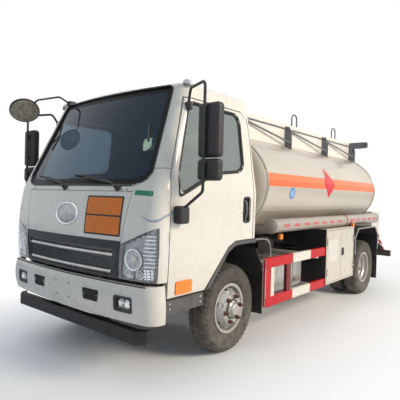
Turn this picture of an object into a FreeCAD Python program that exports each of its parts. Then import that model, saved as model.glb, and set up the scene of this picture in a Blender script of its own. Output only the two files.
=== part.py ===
import FreeCAD, Part
import math
import os
import re
import Sketcher
from FreeCAD import Rotation, Vector

# Light fuel tanker truck with a forward-control tilting cab.
# +Z is up, the front faces -Y and the truck's left side is +X.
# The origin is on the ground below the middle of the truck's box. Millimetres.

doc = FreeCAD.newDocument("tanker_truck")
sheet = doc.addObject("Spreadsheet::Sheet", "Sizes")

SIZES = [
    # running gear
    ("front_axle_y", -1887.5, "front axle, from the middle of the length"),
    ("wheelbase", 3300, "front axle to rear axle"),
    ("tyre_radius", 388, "7.00R16 tyre, and the height of the axles"),
    ("tyre_width", 200, "width of one tyre"),
    ("tyre_crown", 18, "how far the tread's crown stands over its shoulder"),
    ("front_track", 1660, "between the middles of the front tyres"),
    ("rear_track", 1580, "between the middles of the twin pairs"),
    ("dual_spacing", 250, "between the tyres of one twin pair"),
    ("rim_radius", 203, "bead seat of a 16 inch rim"),
    ("rim_width", 160, "between the outer faces of the rim flanges"),
    ("rim_flange", 17, "height of the rim flange over the bead seat"),
    ("rim_wall", 8, "thickness of the rim barrel"),
    ("disc_wall", 12, "thickness of the wheel disc"),
    ("disc_offset", 109, "mounting face of the disc from the rim's middle"),
    ("stud_circle", 111, "radius of the circle of the six wheel studs"),
    ("hand_hole", 21, "radius of the hand holes in the wheel discs"),
    ("hand_circle", 157, "radius of the circle of the hand holes"),
    ("drum_radius", 160, "outer radius of the brake drum"),
    ("drum_wall", 14, "thickness of the drum"),
    ("hub_radius", 72, "outer radius of the hub"),
    ("spindle_radius", 30, "radius of the stub axle"),
    ("running_fit", 0.08, "radial clearance of bearings and pins"),
    ("kingpin_x", 735, "kingpin axis from the middle plane"),
    ("kingpin_radius", 17, "radius of the kingpin"),
    ("kingpin_boss", 36, "outer radius of the axle's kingpin eye"),
    ("kingpin_height", 84, "height of the axle's kingpin eye"),
    ("yoke_wall", 20, "thickness of the knuckle's ears"),
    ("yoke_gap", 3, "gap between an ear and the axle eye"),
    ("steering_arm", 160, "kingpin to tie rod joint, along Y"),
    ("steering_inset", 35, "kingpin to tie rod joint, inwards"),
    ("tie_rod_radius", 13, "radius of the tie rod"),
    ("beam_drop", 60, "how far the middle of the front axle is dropped"),
    ("beam_height", 76, "height of the front axle beam"),
    ("beam_flange", 66, "width of the front axle beam"),
    ("beam_web", 16, "web of the front axle beam"),
    ("rear_tube_radius", 52, "radius of the rear axle tubes"),
    ("banjo_radius", 165, "radius of the final drive housing"),
    ("banjo_depth", 200, "depth of the final drive housing"),
    # ladder frame
    ("rail_half", 375, "outer face of a frame rail from the middle plane"),
    ("rail_bottom", 560, "underside of the frame rails"),
    ("rail_height", 180, "height of the frame rails"),
    ("rail_flange", 60, "width of the rail flanges"),
    ("rail_wall", 8, "thickness of the rails"),
    ("rail_front", 930, "front end of the rails ahead of the front axle"),
    ("rear_overhang", 1525, "rear end of the rails behind the rear axle"),
    ("cross_radius", 45, "radius of the tubular cross members"),
    ("spring_centre", 432, "middle of the leaf springs from the middle plane"),
    ("spring_width", 64, "width of the leaf springs"),
    ("leaf_thickness", 12, "thickness of one leaf"),
    ("front_spring_half", 560, "half length of the front springs"),
    ("rear_spring_half", 640, "half length of the rear springs"),
    # cab
    ("cab_front", 1095, "foremost point of the cab ahead of the front axle"),
    ("cab_rear", 335, "back wall of the cab behind the front axle"),
    ("cab_half", 975, "half width of the cab at its waist"),
    ("sill_half", 955, "half width of the cab at the door sill"),
    ("cab_waist", 1420, "height of the windscreen's foot"),
    ("cab_sill", 625, "underside of the doors"),
    ("front_sill", 748, "underside of the cab's front"),
    ("eaves", 2230, "height where the roof starts to curve"),
    ("eaves_half", 866, "half width of the cab at the eaves"),
    ("roof_rise", 100, "rise of the roof over the eaves"),
    ("roof_shoulder", 270, "width of the curved edge of the roof"),
    ("screen_rake", 368, "how far the windscreen leans back"),
    ("front_bulge", 62, "bulge of the front in plan"),
    ("front_corner", 112, "radius of the front corners in plan"),
    ("rear_corner", 60, "radius of the rear corners in plan"),
    ("cab_wall", 46, "thickness of the cab's walls and doors"),
    ("skin", 18, "thickness of the panels on the cab's front"),
    ("seat_gap", 0.8, "gap of a fixed panel over its seat"),
    ("door_gap", 8, "gap around a door"),
    ("panel_gap", 5, "gap between fixed panels"),
    ("floor_wall", 28, "thickness of the cab floor"),
    ("floor_height", 1004, "underside of the cab floor over the wheels"),
    ("footwell_height", 772, "underside of the footwell"),
    ("door_front", 865, "front edge of the doors ahead of the front axle"),
    ("door_rear", 250, "rear edge of the doors behind the front axle"),
    ("door_top", 2140, "upper edge of the doors"),
    ("door_knee", 1440, "height where the doors' front edge starts to lean back"),
    ("door_lean", 256, "how far the doors' front edge leans back at its top"),
    ("door_hinge_radius", 8, "outer radius of the doors' hinge knuckles"),
    ("door_pin_radius", 4, "radius of the doors' hinge pins"),
    ("arch_front", 430, "front foot of the wheel arch, ahead of the axle"),
    ("arch_height", 995, "top of the wheel arch"),
    ("arch_trim", 34, "width of the wheel arch trim"),
    ("glass", 5, "thickness of the window glass"),
    ("screen_half_low", 838, "half width of the windscreen at its foot"),
    ("screen_half_high", 730, "half width of the windscreen at its top"),
    ("cowl_height", 1448, "lower edge of the windscreen in the middle"),
    ("hood_half", 632, "half width of the grille at its foot"),
    ("grille_flare", 22, "how far the grille widens to its top"),
    ("hood_flare", 78, "how far the hood's top stands out over the grille's foot"),
    ("hood_low", 1030, "lower edge of the hood"),
    ("hood_high", 1395, "upper edge of the hood"),
    ("lamp_high", 1172, "top of the headlamps"),
    ("lamp_rear", 968, "rear edge of the headlamps ahead of the front axle"),
    ("tilt_axis_y", 1047, "tilt axis of the cab ahead of the front axle"),
    ("tilt_axis_z", 620, "height of the cab's tilt axis"),
    ("tilt_pin", 16, "radius of the tilt pins"),
    # bumper and front end
    ("bumper_front", 1110, "foremost point of the truck ahead of the front axle"),
    ("bumper_half", 975, "half width of the bumper"),
    ("bumper_low", 446, "lower edge of the bumper"),
    ("bumper_high", 728, "upper edge of the bumper"),
    ("bumper_wall", 14, "thickness of the bumper"),
    ("fog_x", 708, "middle of the fog lamps from the middle plane"),
    ("fog_z", 578, "height of the fog lamps"),
    ("fog_half", 75, "half width of the fog lamps"),
    ("fog_rise", 45, "half height of the fog lamps"),
    ("bar_low", 298, "underside of the front underrun bar"),
    ("bar_height", 98, "height of the front underrun bar"),
    ("bar_half", 872, "half length of the front underrun bar"),
    ("step_half", 965, "outer face of the entry steps"),
    ("step_depth", 235, "depth of the entry steps"),
    ("step_top", 612, "upper face of the entry steps"),
    ("step_height", 102, "height of the entry steps"),
    ("step_front", 884, "front end of the steps ahead of the front axle"),
    ("step_length", 428, "length of the entry steps"),
    # tank and its top
    ("tank_half_width", 950, "half width of the tank"),
    ("tank_half_height", 620, "half height of the tank"),
    ("tank_centre", 1500, "height of the tank's middle"),
    ("tank_front", 530, "front seam of the tank behind the front axle"),
    ("tank_length", 3330, "length of the tank between its end seams"),
    ("dish_depth", 115, "depth of the tank's dished ends"),
    ("seam_width", 28, "width of the rolled seams at the tank's ends"),
    ("seam_rise", 6, "how far the rolled seams stand out"),
    ("cradle_width", 90, "width of the tank's cradles along the truck"),
    ("coaming_x", 548, "outer face of the coaming panels"),
    ("coaming_top", 2280, "upper edge of the coaming panels"),
    ("coaming_wall", 8, "thickness of the coaming panels"),
    ("gusset_reach", 92, "how far the gussets stand out from the coaming"),
    ("gusset_wall", 10, "thickness of the gussets"),
    ("manhole_radius", 255, "radius of the manhole collar"),
    ("manhole_height", 120, "height of the manhole collar over the tank's crown"),
    ("lid_wall", 14, "thickness of the manhole lid"),
    ("tube_centre_x", 926, "axis of the hose tubes from the middle plane"),
    ("tube_centre_z", 1087, "height of the hose tubes"),
    ("tube_radius", 70, "outer radius of the hose tubes"),
    ("tube_wall", 6, "wall of the hose tubes"),
    ("tube_front", 665, "front end of the hose tubes behind the front axle"),
    ("tube_length", 3290, "length of the hose tubes"),
    # sides
    ("guard_half", 1022, "outer face of the side guards"),
    ("guard_low", 330, "underside of the side guards"),
    ("guard_high", 795, "top of the side guards"),
    ("guard_rail", 92, "height of a guard rail"),
    ("guard_depth", 32, "depth of a guard rail"),
    ("guard_front", 425, "front end of the side guards behind the front axle"),
    ("cabinet_front", 1828, "front face of the pump cabinet behind the front axle"),
    ("cabinet_length", 930, "length of the pump cabinet"),
    ("cabinet_half", 1032, "outer face of the pump cabinet"),
    ("cabinet_depth", 400, "depth of the pump cabinet"),
    ("cabinet_low", 342, "underside of the pump cabinet"),
    ("cabinet_high", 1006, "top of the pump cabinet"),
    ("cabinet_wall", 16, "wall of the pump cabinet"),
    ("hinge_radius", 7, "outer radius of the cabinet's hinges"),
    ("fuel_front", 645, "front end of the fuel tank behind the front axle"),
    ("fuel_length", 880, "length of the fuel tank"),
    ("fuel_width", 440, "width of the fuel tank"),
    ("fuel_height", 375, "height of the fuel tank"),
    ("fuel_low", 350, "underside of the fuel tank"),
    ("fuel_round", 95, "radius of the fuel tank's long edges"),
    ("fender_half", 1040, "outer edge of the rear fenders"),
    ("fender_inner", 548, "inner edge of the rear fenders"),
    ("fender_top", 970, "top of the rear fenders"),
    ("fender_reach", 500, "half length of the rear fenders"),
    ("fender_wall", 6, "thickness of the rear fenders"),
    ("flap_wall", 10, "thickness of the mud flaps"),
    # rear
    ("box_half", 850, "half width of the rear valve box"),
    ("box_front", 4110, "front face of the rear valve box behind the front axle"),
    ("box_length", 400, "length of the rear valve box"),
    ("box_low", 800, "underside of the rear valve box"),
    ("box_high", 1180, "top of the rear valve box"),
    ("ladder_half", 180, "middle of the ladder's stiles from the middle plane"),
    ("rear_bar_low", 395, "underside of the rear underrun bar"),
    ("rear_bar_height", 100, "height of the rear underrun bar"),
    ("rear_bar_half", 950, "half length of the rear underrun bar"),
    ("rear_bar_depth", 60, "depth of the rear underrun bar"),
]

for row, (alias, number, note) in enumerate(SIZES, start=1):
    sheet.set("A%d" % row, note)
    sheet.set("B%d" % row, str(number))
    sheet.setAlias("B%d" % row, alias)
doc.recompute()

nodes = []
WORD = re.compile(r"[a-z_]*[a-z](?!\()(?![a-z_])")
PLANES = {
    "XY": Rotation(),
    "XZ": Rotation(Vector(1, 0, 0), 90),
    "YZ": Rotation(Vector(1, 1, 1), 120),
}
ALONG = {
    "X": Rotation(Vector(0, 1, 0), 90),
    "Y": Rotation(Vector(1, 0, 0), -90),
    "Z": Rotation(),
}


def size(alias):
    """The value of a named size."""
    return float(sheet.get(alias))


def bind(thing, what, formula):
    """Tie a property to a formula of named sizes."""
    thing.setExpression(what, WORD.sub(lambda word: "Sizes." + word.group(0), formula))


def place(thing, x, y, z, rotation=Rotation()):
    """Turn a thing, then tie its place to three formulas."""
    thing.Placement = FreeCAD.Placement(Vector(), rotation)
    for letter, formula in zip("xyz", (x, y, z)):
        bind(thing, "Placement.Base." + letter, formula)
    return thing


def box(name, x, y, z, dx, dy, dz):
    """A block whose least corner is at x, y, z."""
    block = doc.addObject("Part::Box", name)
    for what, formula in (("Length", dx), ("Width", dy), ("Height", dz)):
        bind(block, what, formula)
    return place(block, x, y, z)


def rod(name, axis, x, y, z, radius, length):
    """A cylinder that starts at x, y, z and runs along an axis."""
    cylinder = doc.addObject("Part::Cylinder", name)
    bind(cylinder, "Radius", radius)
    bind(cylinder, "Height", length)
    return place(cylinder, x, y, z, ALONG[axis])


def sketch(name, corners):
    """A closed outline of straight edges whose corners are formulas."""
    drawing = doc.addObject("Sketcher::SketchObject", name)
    count = len(corners)
    angles = [2 * math.pi * index / count for index in range(count)]
    rough = [Vector(100 * math.cos(angle), 100 * math.sin(angle), 0) for angle in angles]
    edges = [Part.LineSegment(rough[i], rough[(i + 1) % count]) for i in range(count)]
    drawing.addGeometry(edges, False)
    rules = [Sketcher.Constraint("Coincident", i, 2, (i + 1) % count, 1) for i in range(count)]
    drawing.addConstraint(rules)
    for i, corner in enumerate(corners):
        for rule, formula, rest in zip(("DistanceX", "DistanceY"), corner, rough[i]):
            index = drawing.addConstraint(Sketcher.Constraint(rule, -1, 1, i, 1, rest))
            bind(drawing, "Constraints[%d]" % index, formula)
    return drawing


def slab(name, plane, corners, start, thick):
    """An outline in a main plane, given thickness from start towards plus."""
    drawing = sketch(name + "_outline", corners)
    drawing.Placement = FreeCAD.Placement(Vector(), PLANES[plane])
    solid = doc.addObject("Part::Extrusion", name)
    solid.Base = drawing
    solid.DirMode = "Normal"
    solid.Solid = True
    solid.Reversed = plane == "XZ"
    bind(solid, "LengthFwd", thick)
    letter = {"XY": "z", "XZ": "y", "YZ": "x"}[plane]
    bind(solid, "Placement.Base." + letter, start)
    return solid


def turned(name, corners, x, y, z):
    """An outline of (along X, radius) corners, turned about a line along X."""
    drawing = sketch(name + "_outline", corners)
    drawing.Placement = FreeCAD.Placement(Vector(), PLANES["XZ"])
    solid = doc.addObject("Part::Revolution", name)
    solid.Source = drawing
    solid.Axis = Vector(1, 0, 0)
    solid.Angle = 360
    solid.Solid = True
    return place(solid, x, y, z)


def fuse(name, *parts):
    """The union of several parts."""
    union = doc.addObject("Part::MultiFuse", name)
    union.Shapes = list(parts)
    return union


def cut(name, base, *tools):
    """A part less one or more tools."""
    tool = tools[0] if len(tools) == 1 else fuse(name + "_tools", *tools)
    rest = doc.addObject("Part::Cut", name)
    rest.Base = base
    rest.Tool = tool
    return rest


def mirror(name, source):
    """The other side's copy of a part."""
    other = doc.addObject("Part::Mirroring", name)
    other.Source = source
    other.Normal = Vector(1, 0, 0)
    return other


def group(name, *parts):
    """Several separate solids as one object."""
    bundle = doc.addObject("Part::Compound", name)
    bundle.Links = list(parts)
    return bundle


def pair(name, source):
    """A part and its mirror image as one object."""
    return group(name, source, mirror(name + "_right", source))


def feature(name, shape):
    """A shape made with Part's own functions."""
    thing = doc.addObject("Part::Feature", name)
    thing.Shape = shape
    thing.Placement = FreeCAD.Placement()
    return thing


def node(thing, label):
    """Register a finished sub-part under its file's name."""
    thing.Label = label
    nodes.append(thing)
    return thing


def sides():
    """The two sides of the truck, as name and sign."""
    return (("left", 1), ("right", -1))


# Frame rails and cross members

RAIL_Y = "front_axle_y - rail_front"
RAIL_LENGTH = "rail_front + wheelbase + rear_overhang"
RAIL_TOP = "rail_bottom + rail_height"
rail = slab("rail", "XZ", [
    ("rail_half", "rail_bottom"),
    ("rail_half", RAIL_TOP),
    ("rail_half - rail_flange", RAIL_TOP),
    ("rail_half - rail_flange", RAIL_TOP + " - rail_wall"),
    ("rail_half - rail_wall", RAIL_TOP + " - rail_wall"),
    ("rail_half - rail_wall", "rail_bottom + rail_wall"),
    ("rail_half - rail_flange", "rail_bottom + rail_wall"),
    ("rail_half - rail_flange", "rail_bottom"),
], RAIL_Y, RAIL_LENGTH)
node(pair("rails", rail), "frame_rails")

CROSS_PLACES = ("1700", "2500", "wheelbase - 560", "wheelbase + 560", "wheelbase + rear_overhang - 90")
cross = []
for index, along in enumerate(CROSS_PLACES):
    cross.append(rod("cross_%d" % index, "X", "rail_wall - rail_half", "front_axle_y + " + along,
                     "rail_bottom + rail_height / 2", "cross_radius", "2 * (rail_half - rail_wall)"))
front_cross = box("front_cross", "rail_wall - rail_half", "front_axle_y - rail_front + 40",
                  "rail_bottom + 30", "2 * (rail_half - rail_wall)", "60", "rail_height - 60")
CAB_REST = "floor_height - 6"
gantry = slab("gantry", "XZ", [
    ("rail_half", RAIL_TOP),
    ("rail_half", CAB_REST),
    ("-rail_half", CAB_REST),
    ("-rail_half", RAIL_TOP),
    ("-rail_half + 60", RAIL_TOP),
    ("-rail_half + 60", CAB_REST + " - 40"),
    ("rail_half - 60", CAB_REST + " - 40"),
    ("rail_half - 60", RAIL_TOP),
], "front_axle_y + cab_rear - 140", "60")
node(group("cross_members_all", *cross, front_cross, gantry), "cross_members")

# Front axle beam, dropped in the middle, with an eye for each kingpin

EYE_BOTTOM = "tyre_radius - kingpin_height / 2"
BEAM_END = "kingpin_x - kingpin_boss + 8"
BEAM_TOP = "tyre_radius + beam_height / 2"
beam_side = slab("beam_side", "XZ", [
    ("-(%s)" % BEAM_END, BEAM_TOP),
    ("-spring_centre - 60", BEAM_TOP),
    ("-spring_centre + 60", BEAM_TOP + " - beam_drop"),
    ("spring_centre - 60", BEAM_TOP + " - beam_drop"),
    ("spring_centre + 60", BEAM_TOP),
    (BEAM_END, BEAM_TOP),
    (BEAM_END, BEAM_TOP + " - beam_height"),
    ("spring_centre + 60", BEAM_TOP + " - beam_height"),
    ("spring_centre - 60", BEAM_TOP + " - beam_height - beam_drop"),
    ("-spring_centre + 60", BEAM_TOP + " - beam_height - beam_drop"),
    ("-spring_centre - 60", BEAM_TOP + " - beam_height"),
    ("-(%s)" % BEAM_END, BEAM_TOP + " - beam_height"),
], "front_axle_y - beam_flange / 2", "beam_flange")
beam_parts = [beam_side]
beam_bores = []
for side, sign in sides():
    eye_x = "%d * kingpin_x" % sign
    beam_parts.append(rod("eye_" + side, "Z", eye_x, "front_axle_y", EYE_BOTTOM,
                          "kingpin_boss", "kingpin_height"))
    beam_bores.append(rod("eye_bore_" + side, "Z", eye_x, "front_axle_y", EYE_BOTTOM + " - 1",
                          "kingpin_radius + running_fit", "kingpin_height + 2"))
    beam_parts.append(box("pad_" + side, "%d * spring_centre - spring_width / 2" % sign,
                          "front_axle_y - 65", BEAM_TOP + " - beam_drop", "spring_width", "130",
                          "beam_drop + 4"))
    # the web is left between two flanges on both faces of the beam
    for face in (-1, 1):
        start = "front_axle_y + %d * (beam_web / 2 + beam_flange / 4 + 4) - beam_flange / 4" % face
        beam_bores.append(box("web_%s_%s" % (side, "front" if face < 0 else "rear"),
                              "-spring_centre + 90", start, BEAM_TOP + " - beam_drop - beam_height + 14",
                              "2 * spring_centre - 180", "beam_flange / 2", "beam_height - 28"))
node(cut("axle_beam", fuse("axle_blank", *beam_parts), *beam_bores), "front_axle")

# Knuckles, on which the front wheels turn and steer

EAR_RADIUS = "kingpin_boss - 2"
UPPER_EAR = "tyre_radius + kingpin_height / 2 + yoke_gap"
LOWER_EAR = "tyre_radius - kingpin_height / 2 - yoke_gap - yoke_wall"
EAR_SPAN = "kingpin_height + 2 * (yoke_gap + yoke_wall)"
WEB_X = "kingpin_x + kingpin_boss + 3"
SPINDLE_END = "front_track / 2 + disc_offset - 34"
ARM_Z = "tyre_radius - kingpin_height / 2 - yoke_gap - yoke_wall"


def knuckle():
    """The left knuckle: ears, kingpin, stub axle, brake plate and steering arm."""
    parts = []
    for name, low in (("upper_ear", UPPER_EAR), ("lower_ear", LOWER_EAR)):
        parts.append(rod(name, "Z", "kingpin_x", "front_axle_y", low, EAR_RADIUS, "yoke_wall"))
        parts.append(box(name + "_root", "kingpin_x", "front_axle_y - kingpin_boss + 2", low,
                         "kingpin_boss + 14", "2 * kingpin_boss - 4", "yoke_wall"))
    parts.append(rod("kingpin", "Z", "kingpin_x", "front_axle_y", LOWER_EAR, "kingpin_radius", EAR_SPAN))
    parts.append(box("knuckle_web", WEB_X, "front_axle_y - kingpin_boss + 2", LOWER_EAR,
                     "14", "2 * kingpin_boss - 4", EAR_SPAN))
    parts.append(rod("spindle", "X", WEB_X, "front_axle_y", "tyre_radius", "spindle_radius",
                     SPINDLE_END + " - (%s)" % WEB_X))
    parts.append(rod("brake_plate", "X", WEB_X, "front_axle_y", "tyre_radius", "drum_radius - 4", "8"))
    parts.append(slab("steering_arm_left", "XY", [
        ("kingpin_x - 24", "front_axle_y"),
        ("kingpin_x + 24", "front_axle_y"),
        ("kingpin_x - steering_inset + 20", "front_axle_y + steering_arm"),
        ("kingpin_x - steering_inset + 10", "front_axle_y + steering_arm + 18"),
        ("kingpin_x - steering_inset - 10", "front_axle_y + steering_arm + 18"),
        ("kingpin_x - steering_inset - 20", "front_axle_y + steering_arm"),
    ], ARM_Z, "yoke_wall"))
    return fuse("knuckle_left_body", *parts)


left_knuckle = knuckle()
stud = rod("tie_stud", "Z", "kingpin_x - steering_inset", "front_axle_y + steering_arm",
           ARM_Z + " - 34", "9", "36")
node(fuse("knuckle_left_all", left_knuckle, stud), "knuckle_left")
node(mirror("knuckle_right_body", left_knuckle), "knuckle_right")

BALL_X = "kingpin_x - steering_inset"
BALL_Y = "front_axle_y + steering_arm"
ROD_Z = ARM_Z + " - 19"
tie_parts = [rod("tie_bar", "X", "-(%s)" % BALL_X, BALL_Y, ROD_Z, "tie_rod_radius", "2 * (%s)" % BALL_X)]
for side, sign in sides():
    tie_parts.append(rod("tie_end_" + side, "Z", "%d * (%s)" % (sign, BALL_X), BALL_Y,
                         ROD_Z + " - 15", "21", "30"))
tie_bore = rod("tie_bore", "Z", BALL_X, BALL_Y, ROD_Z + " - 20", "9 + running_fit", "40")
node(cut("tie_rod_body", fuse("tie_rod_blank", *tie_parts), tie_bore), "tie_rod")

# Tyres and wheels

TYRE_HALF = "tyre_width / 2"
SIDEWALL = "(tyre_radius - rim_radius)"


def tyre(name, x, y):
    """One tyre, turned from its section."""
    inner = "rim_radius + 0.4"
    bead = "rim_width / 2 - 12"
    half = [
        (bead, inner),
        (bead, "rim_radius + rim_flange + 2"),
        ("rim_width / 2 - 3", "rim_radius + rim_flange + 8"),
        (TYRE_HALF + " - 5", "rim_radius + %s * 0.34" % SIDEWALL),
        (TYRE_HALF, "rim_radius + %s * 0.52" % SIDEWALL),
        (TYRE_HALF + " - 6", "rim_radius + %s * 0.76" % SIDEWALL),
        (TYRE_HALF + " - 22", "tyre_radius - tyre_crown"),
        (TYRE_HALF + " - 44", "tyre_radius - tyre_crown * 0.28"),
        (TYRE_HALF + " - 78", "tyre_radius"),
    ]
    other = [("-(%s)" % along, radius) for along, radius in reversed(half)]
    return turned(name, half + other, x, y, "tyre_radius")


def rim(sign):
    """The barrel of a rim with its flanges, from its middle plane."""
    half = "rim_width / 2"
    seat = "rim_radius"
    corners = [
        (half, seat + " + rim_flange"),
        (half + " - 8", seat + " + rim_flange"),
        (half + " - 11", seat),
        ("rim_width / 5", seat + " - 2"),
        ("rim_width / 9", seat + " - 18"),
        ("-rim_width / 9", seat + " - 18"),
        ("-rim_width / 5", seat + " - 2"),
        (half + " * (-1) + 11", seat),
        (half + " * (-1) + 8", seat + " + rim_flange"),
        (half + " * (-1)", seat + " + rim_flange"),
        (half + " * (-1) + 3", seat + " - rim_wall"),
        ("-rim_width / 5", seat + " - 2 - rim_wall"),
        ("-rim_width / 9", seat + " - 18 - rim_wall"),
        ("rim_width / 9", seat + " - 18 - rim_wall"),
        ("rim_width / 5", seat + " - 2 - rim_wall"),
        (half + " - 3", seat + " - rim_wall"),
    ]
    return [("%d * (%s)" % (sign, along), radius) for along, radius in corners]


def wheel_disc(name, x, y, sign):
    """The dished disc of a wheel, whose middle plane is at x, with its six hand holes."""
    outline = [
        ("disc_offset - disc_wall", "hub_radius - 2"),
        ("disc_offset", "hub_radius - 2"),
        ("disc_offset", "stud_circle + 24"),
        ("disc_offset - 26", "rim_radius - 50"),
        ("rim_width / 9 + 22", "rim_radius - 24"),
        ("rim_width / 9 + 4", "rim_radius - 18 - rim_wall + 1"),
        ("rim_width / 9 - 14", "rim_radius - 18 - rim_wall + 1"),
        ("rim_width / 9 + 8", "rim_radius - 38"),
        ("disc_offset - 26 - disc_wall", "rim_radius - 62"),
        ("disc_offset - disc_wall", "stud_circle + 14"),
    ]
    corners = [("%d * (%s)" % (sign, along), radius) for along, radius in outline]
    plate = turned(name + "_plate", corners, x, y, "tyre_radius")
    start = x if sign > 0 else x + " - disc_offset - 1"
    holes = []
    for index in range(6):
        angle = math.radians(40 + 60 * index)
        holes.append(rod("%s_hole_%d" % (name, index), "X", start,
                         y + " + hand_circle * %.5f" % math.cos(angle),
                         "tyre_radius + hand_circle * %.5f" % math.sin(angle),
                         "hand_hole", "disc_offset + 1"))
    return cut(name, plate, *holes)


def front_wheel():
    """The left front wheel: rim, disc, drum and hub as they are bolted up."""
    x = "front_track / 2"
    y = "front_axle_y"
    barrel = turned("front_rim", rim(1), x, y, "tyre_radius")
    plate = wheel_disc("front_disc", x, y, 1)
    drum_in = "kingpin_x + kingpin_boss + 3 + 8 + 5 - front_track / 2"
    hub = turned("front_hub", [
        ("disc_offset - disc_wall", "spindle_radius + running_fit"),
        ("disc_offset - disc_wall", "drum_radius - 26"),
        ("disc_offset - disc_wall - 26", "drum_radius"),
        (drum_in, "drum_radius"),
        (drum_in, "drum_radius - drum_wall"),
        ("disc_offset - disc_wall - drum_wall - 20", "drum_radius - drum_wall"),
        ("disc_offset - disc_wall - drum_wall", "drum_radius - drum_wall - 20"),
        ("disc_offset - disc_wall - drum_wall", "hub_radius - 12"),
        ("disc_offset - 76", "hub_radius - 12"),
        ("disc_offset - 76", "spindle_radius + running_fit"),
    ], x, y, "tyre_radius")
    cap = turned("front_cap", [
        ("disc_offset - disc_wall", "0"),
        ("disc_offset - disc_wall", "hub_radius - 1"),
        ("disc_offset + 10", "hub_radius - 1"),
        ("disc_offset + 18", "hub_radius - 16"),
        ("disc_offset + 36", "hub_radius - 24"),
        ("disc_offset + 40", "hub_radius - 34"),
        ("disc_offset + 40", "0"),
    ], x, y, "tyre_radius")
    return fuse("front_wheel_left_body", barrel, plate, hub, cap)


REAR_Y = "front_axle_y + wheelbase"
INNER_X = "rear_track / 2 - dual_spacing / 2"
OUTER_X = "rear_track / 2 + dual_spacing / 2"


def rear_wheel():
    """The left inner rear wheel with the drum and hub that carry both twins."""
    barrel = turned("inner_rim", rim(1), INNER_X, REAR_Y, "tyre_radius")
    plate = wheel_disc("inner_disc", INNER_X, REAR_Y, 1)
    middle = "dual_spacing / 2 - disc_offset"
    bore = "spindle_radius + 6 + running_fit"
    hub = turned("rear_hub", [
        ("-150", bore),
        ("-150", "hub_radius"),
        ("-(%s) - disc_wall - drum_wall" % middle, "hub_radius"),
        ("-(%s) - disc_wall - drum_wall" % middle, "drum_radius - drum_wall - 20"),
        ("-(%s) - disc_wall - drum_wall - 20" % middle, "drum_radius - drum_wall"),
        ("-214", "drum_radius - drum_wall"),
        ("-214", "drum_radius"),
        ("-(%s) - disc_wall - 26" % middle, "drum_radius"),
        ("-(%s) - disc_wall" % middle, "drum_radius - 26"),
        ("-(%s)" % middle, "stud_circle + 22"),
        (middle, "stud_circle + 22"),
        (middle, "hub_radius - 6"),
        ("dual_spacing / 2 - 30", "hub_radius - 6"),
        ("dual_spacing / 2 - 20", "hub_radius - 16"),
        ("dual_spacing / 2 - 20", "0"),
        ("dual_spacing / 2 - 34", "0"),
        ("dual_spacing / 2 - 34", bore),
    ], "rear_track / 2", REAR_Y, "tyre_radius")
    return fuse("rear_wheel_left_body", barrel, plate, hub)


def outer_wheel():
    """The left outer rear wheel, bolted to the hub's flange."""
    barrel = turned("outer_rim", rim(-1), OUTER_X, REAR_Y, "tyre_radius")
    return fuse("rear_outer_wheel_left_body", barrel, wheel_disc("outer_disc", OUTER_X, REAR_Y, -1))


front_tyre = tyre("front_tyre_body", "front_track / 2", "front_axle_y")
twin_tyres = group("rear_tyres_body", tyre("inner_tyre", INNER_X, REAR_Y),
                   tyre("outer_tyre", OUTER_X, REAR_Y))
for label, left in (("front_wheel", front_wheel()), ("rear_wheel", rear_wheel()),
                    ("rear_outer_wheel", outer_wheel()), ("front_tyre", front_tyre),
                    ("rear_tyres", twin_tyres)):
    node(left, label + "_left")
    node(mirror(label + "_mirrored", left), label + "_right")

# Rear axle with its final drive, and the brake plates

AXLE_END = "rear_track / 2 - 214 + 60"
banjo_cut = turned("banjo", [
    ("-banjo_depth / 2", "0"),
    ("-banjo_depth / 2", "banjo_radius / 2"),
    ("-banjo_depth / 5", "banjo_radius"),
    ("banjo_depth / 5", "banjo_radius"),
    ("banjo_depth / 2", "banjo_radius / 2"),
    ("banjo_depth / 2", "0"),
], "0", REAR_Y, "tyre_radius")
axle_parts = [banjo_cut, rod("rear_tube", "X", "-(%s)" % AXLE_END, REAR_Y, "tyre_radius",
                             "rear_tube_radius", "2 * (%s)" % AXLE_END)]
axle_parts.append(rod("rear_spindles", "X", "-(rear_track + dual_spacing) / 2 + 40", REAR_Y, "tyre_radius",
                      "spindle_radius + 6", "rear_track + dual_spacing - 80"))
axle_parts.append(rod("pinion", "Y", "0", REAR_Y + " - banjo_radius - 90", "tyre_radius", "60", "130"))
SPRING_SEAT = "tyre_radius + rear_tube_radius + 8"
for side, sign in sides():
    axle_parts.append(rod("rear_plate_" + side, "X", "%d * (rear_track / 2 - 224) - 4" % sign, REAR_Y,
                          "tyre_radius", "drum_radius - 4", "8"))
    axle_parts.append(box("rear_pad_" + side, "%d * spring_centre - spring_width / 2" % sign,
                          REAR_Y + " - 65", "tyre_radius", "spring_width", "130",
                          "rear_tube_radius + 8"))
node(fuse("rear_axle_body", *axle_parts), "rear_axle")

# Leaf springs with their hangers and shackles

FRONT_SEAT = BEAM_TOP + " + 4"


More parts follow.
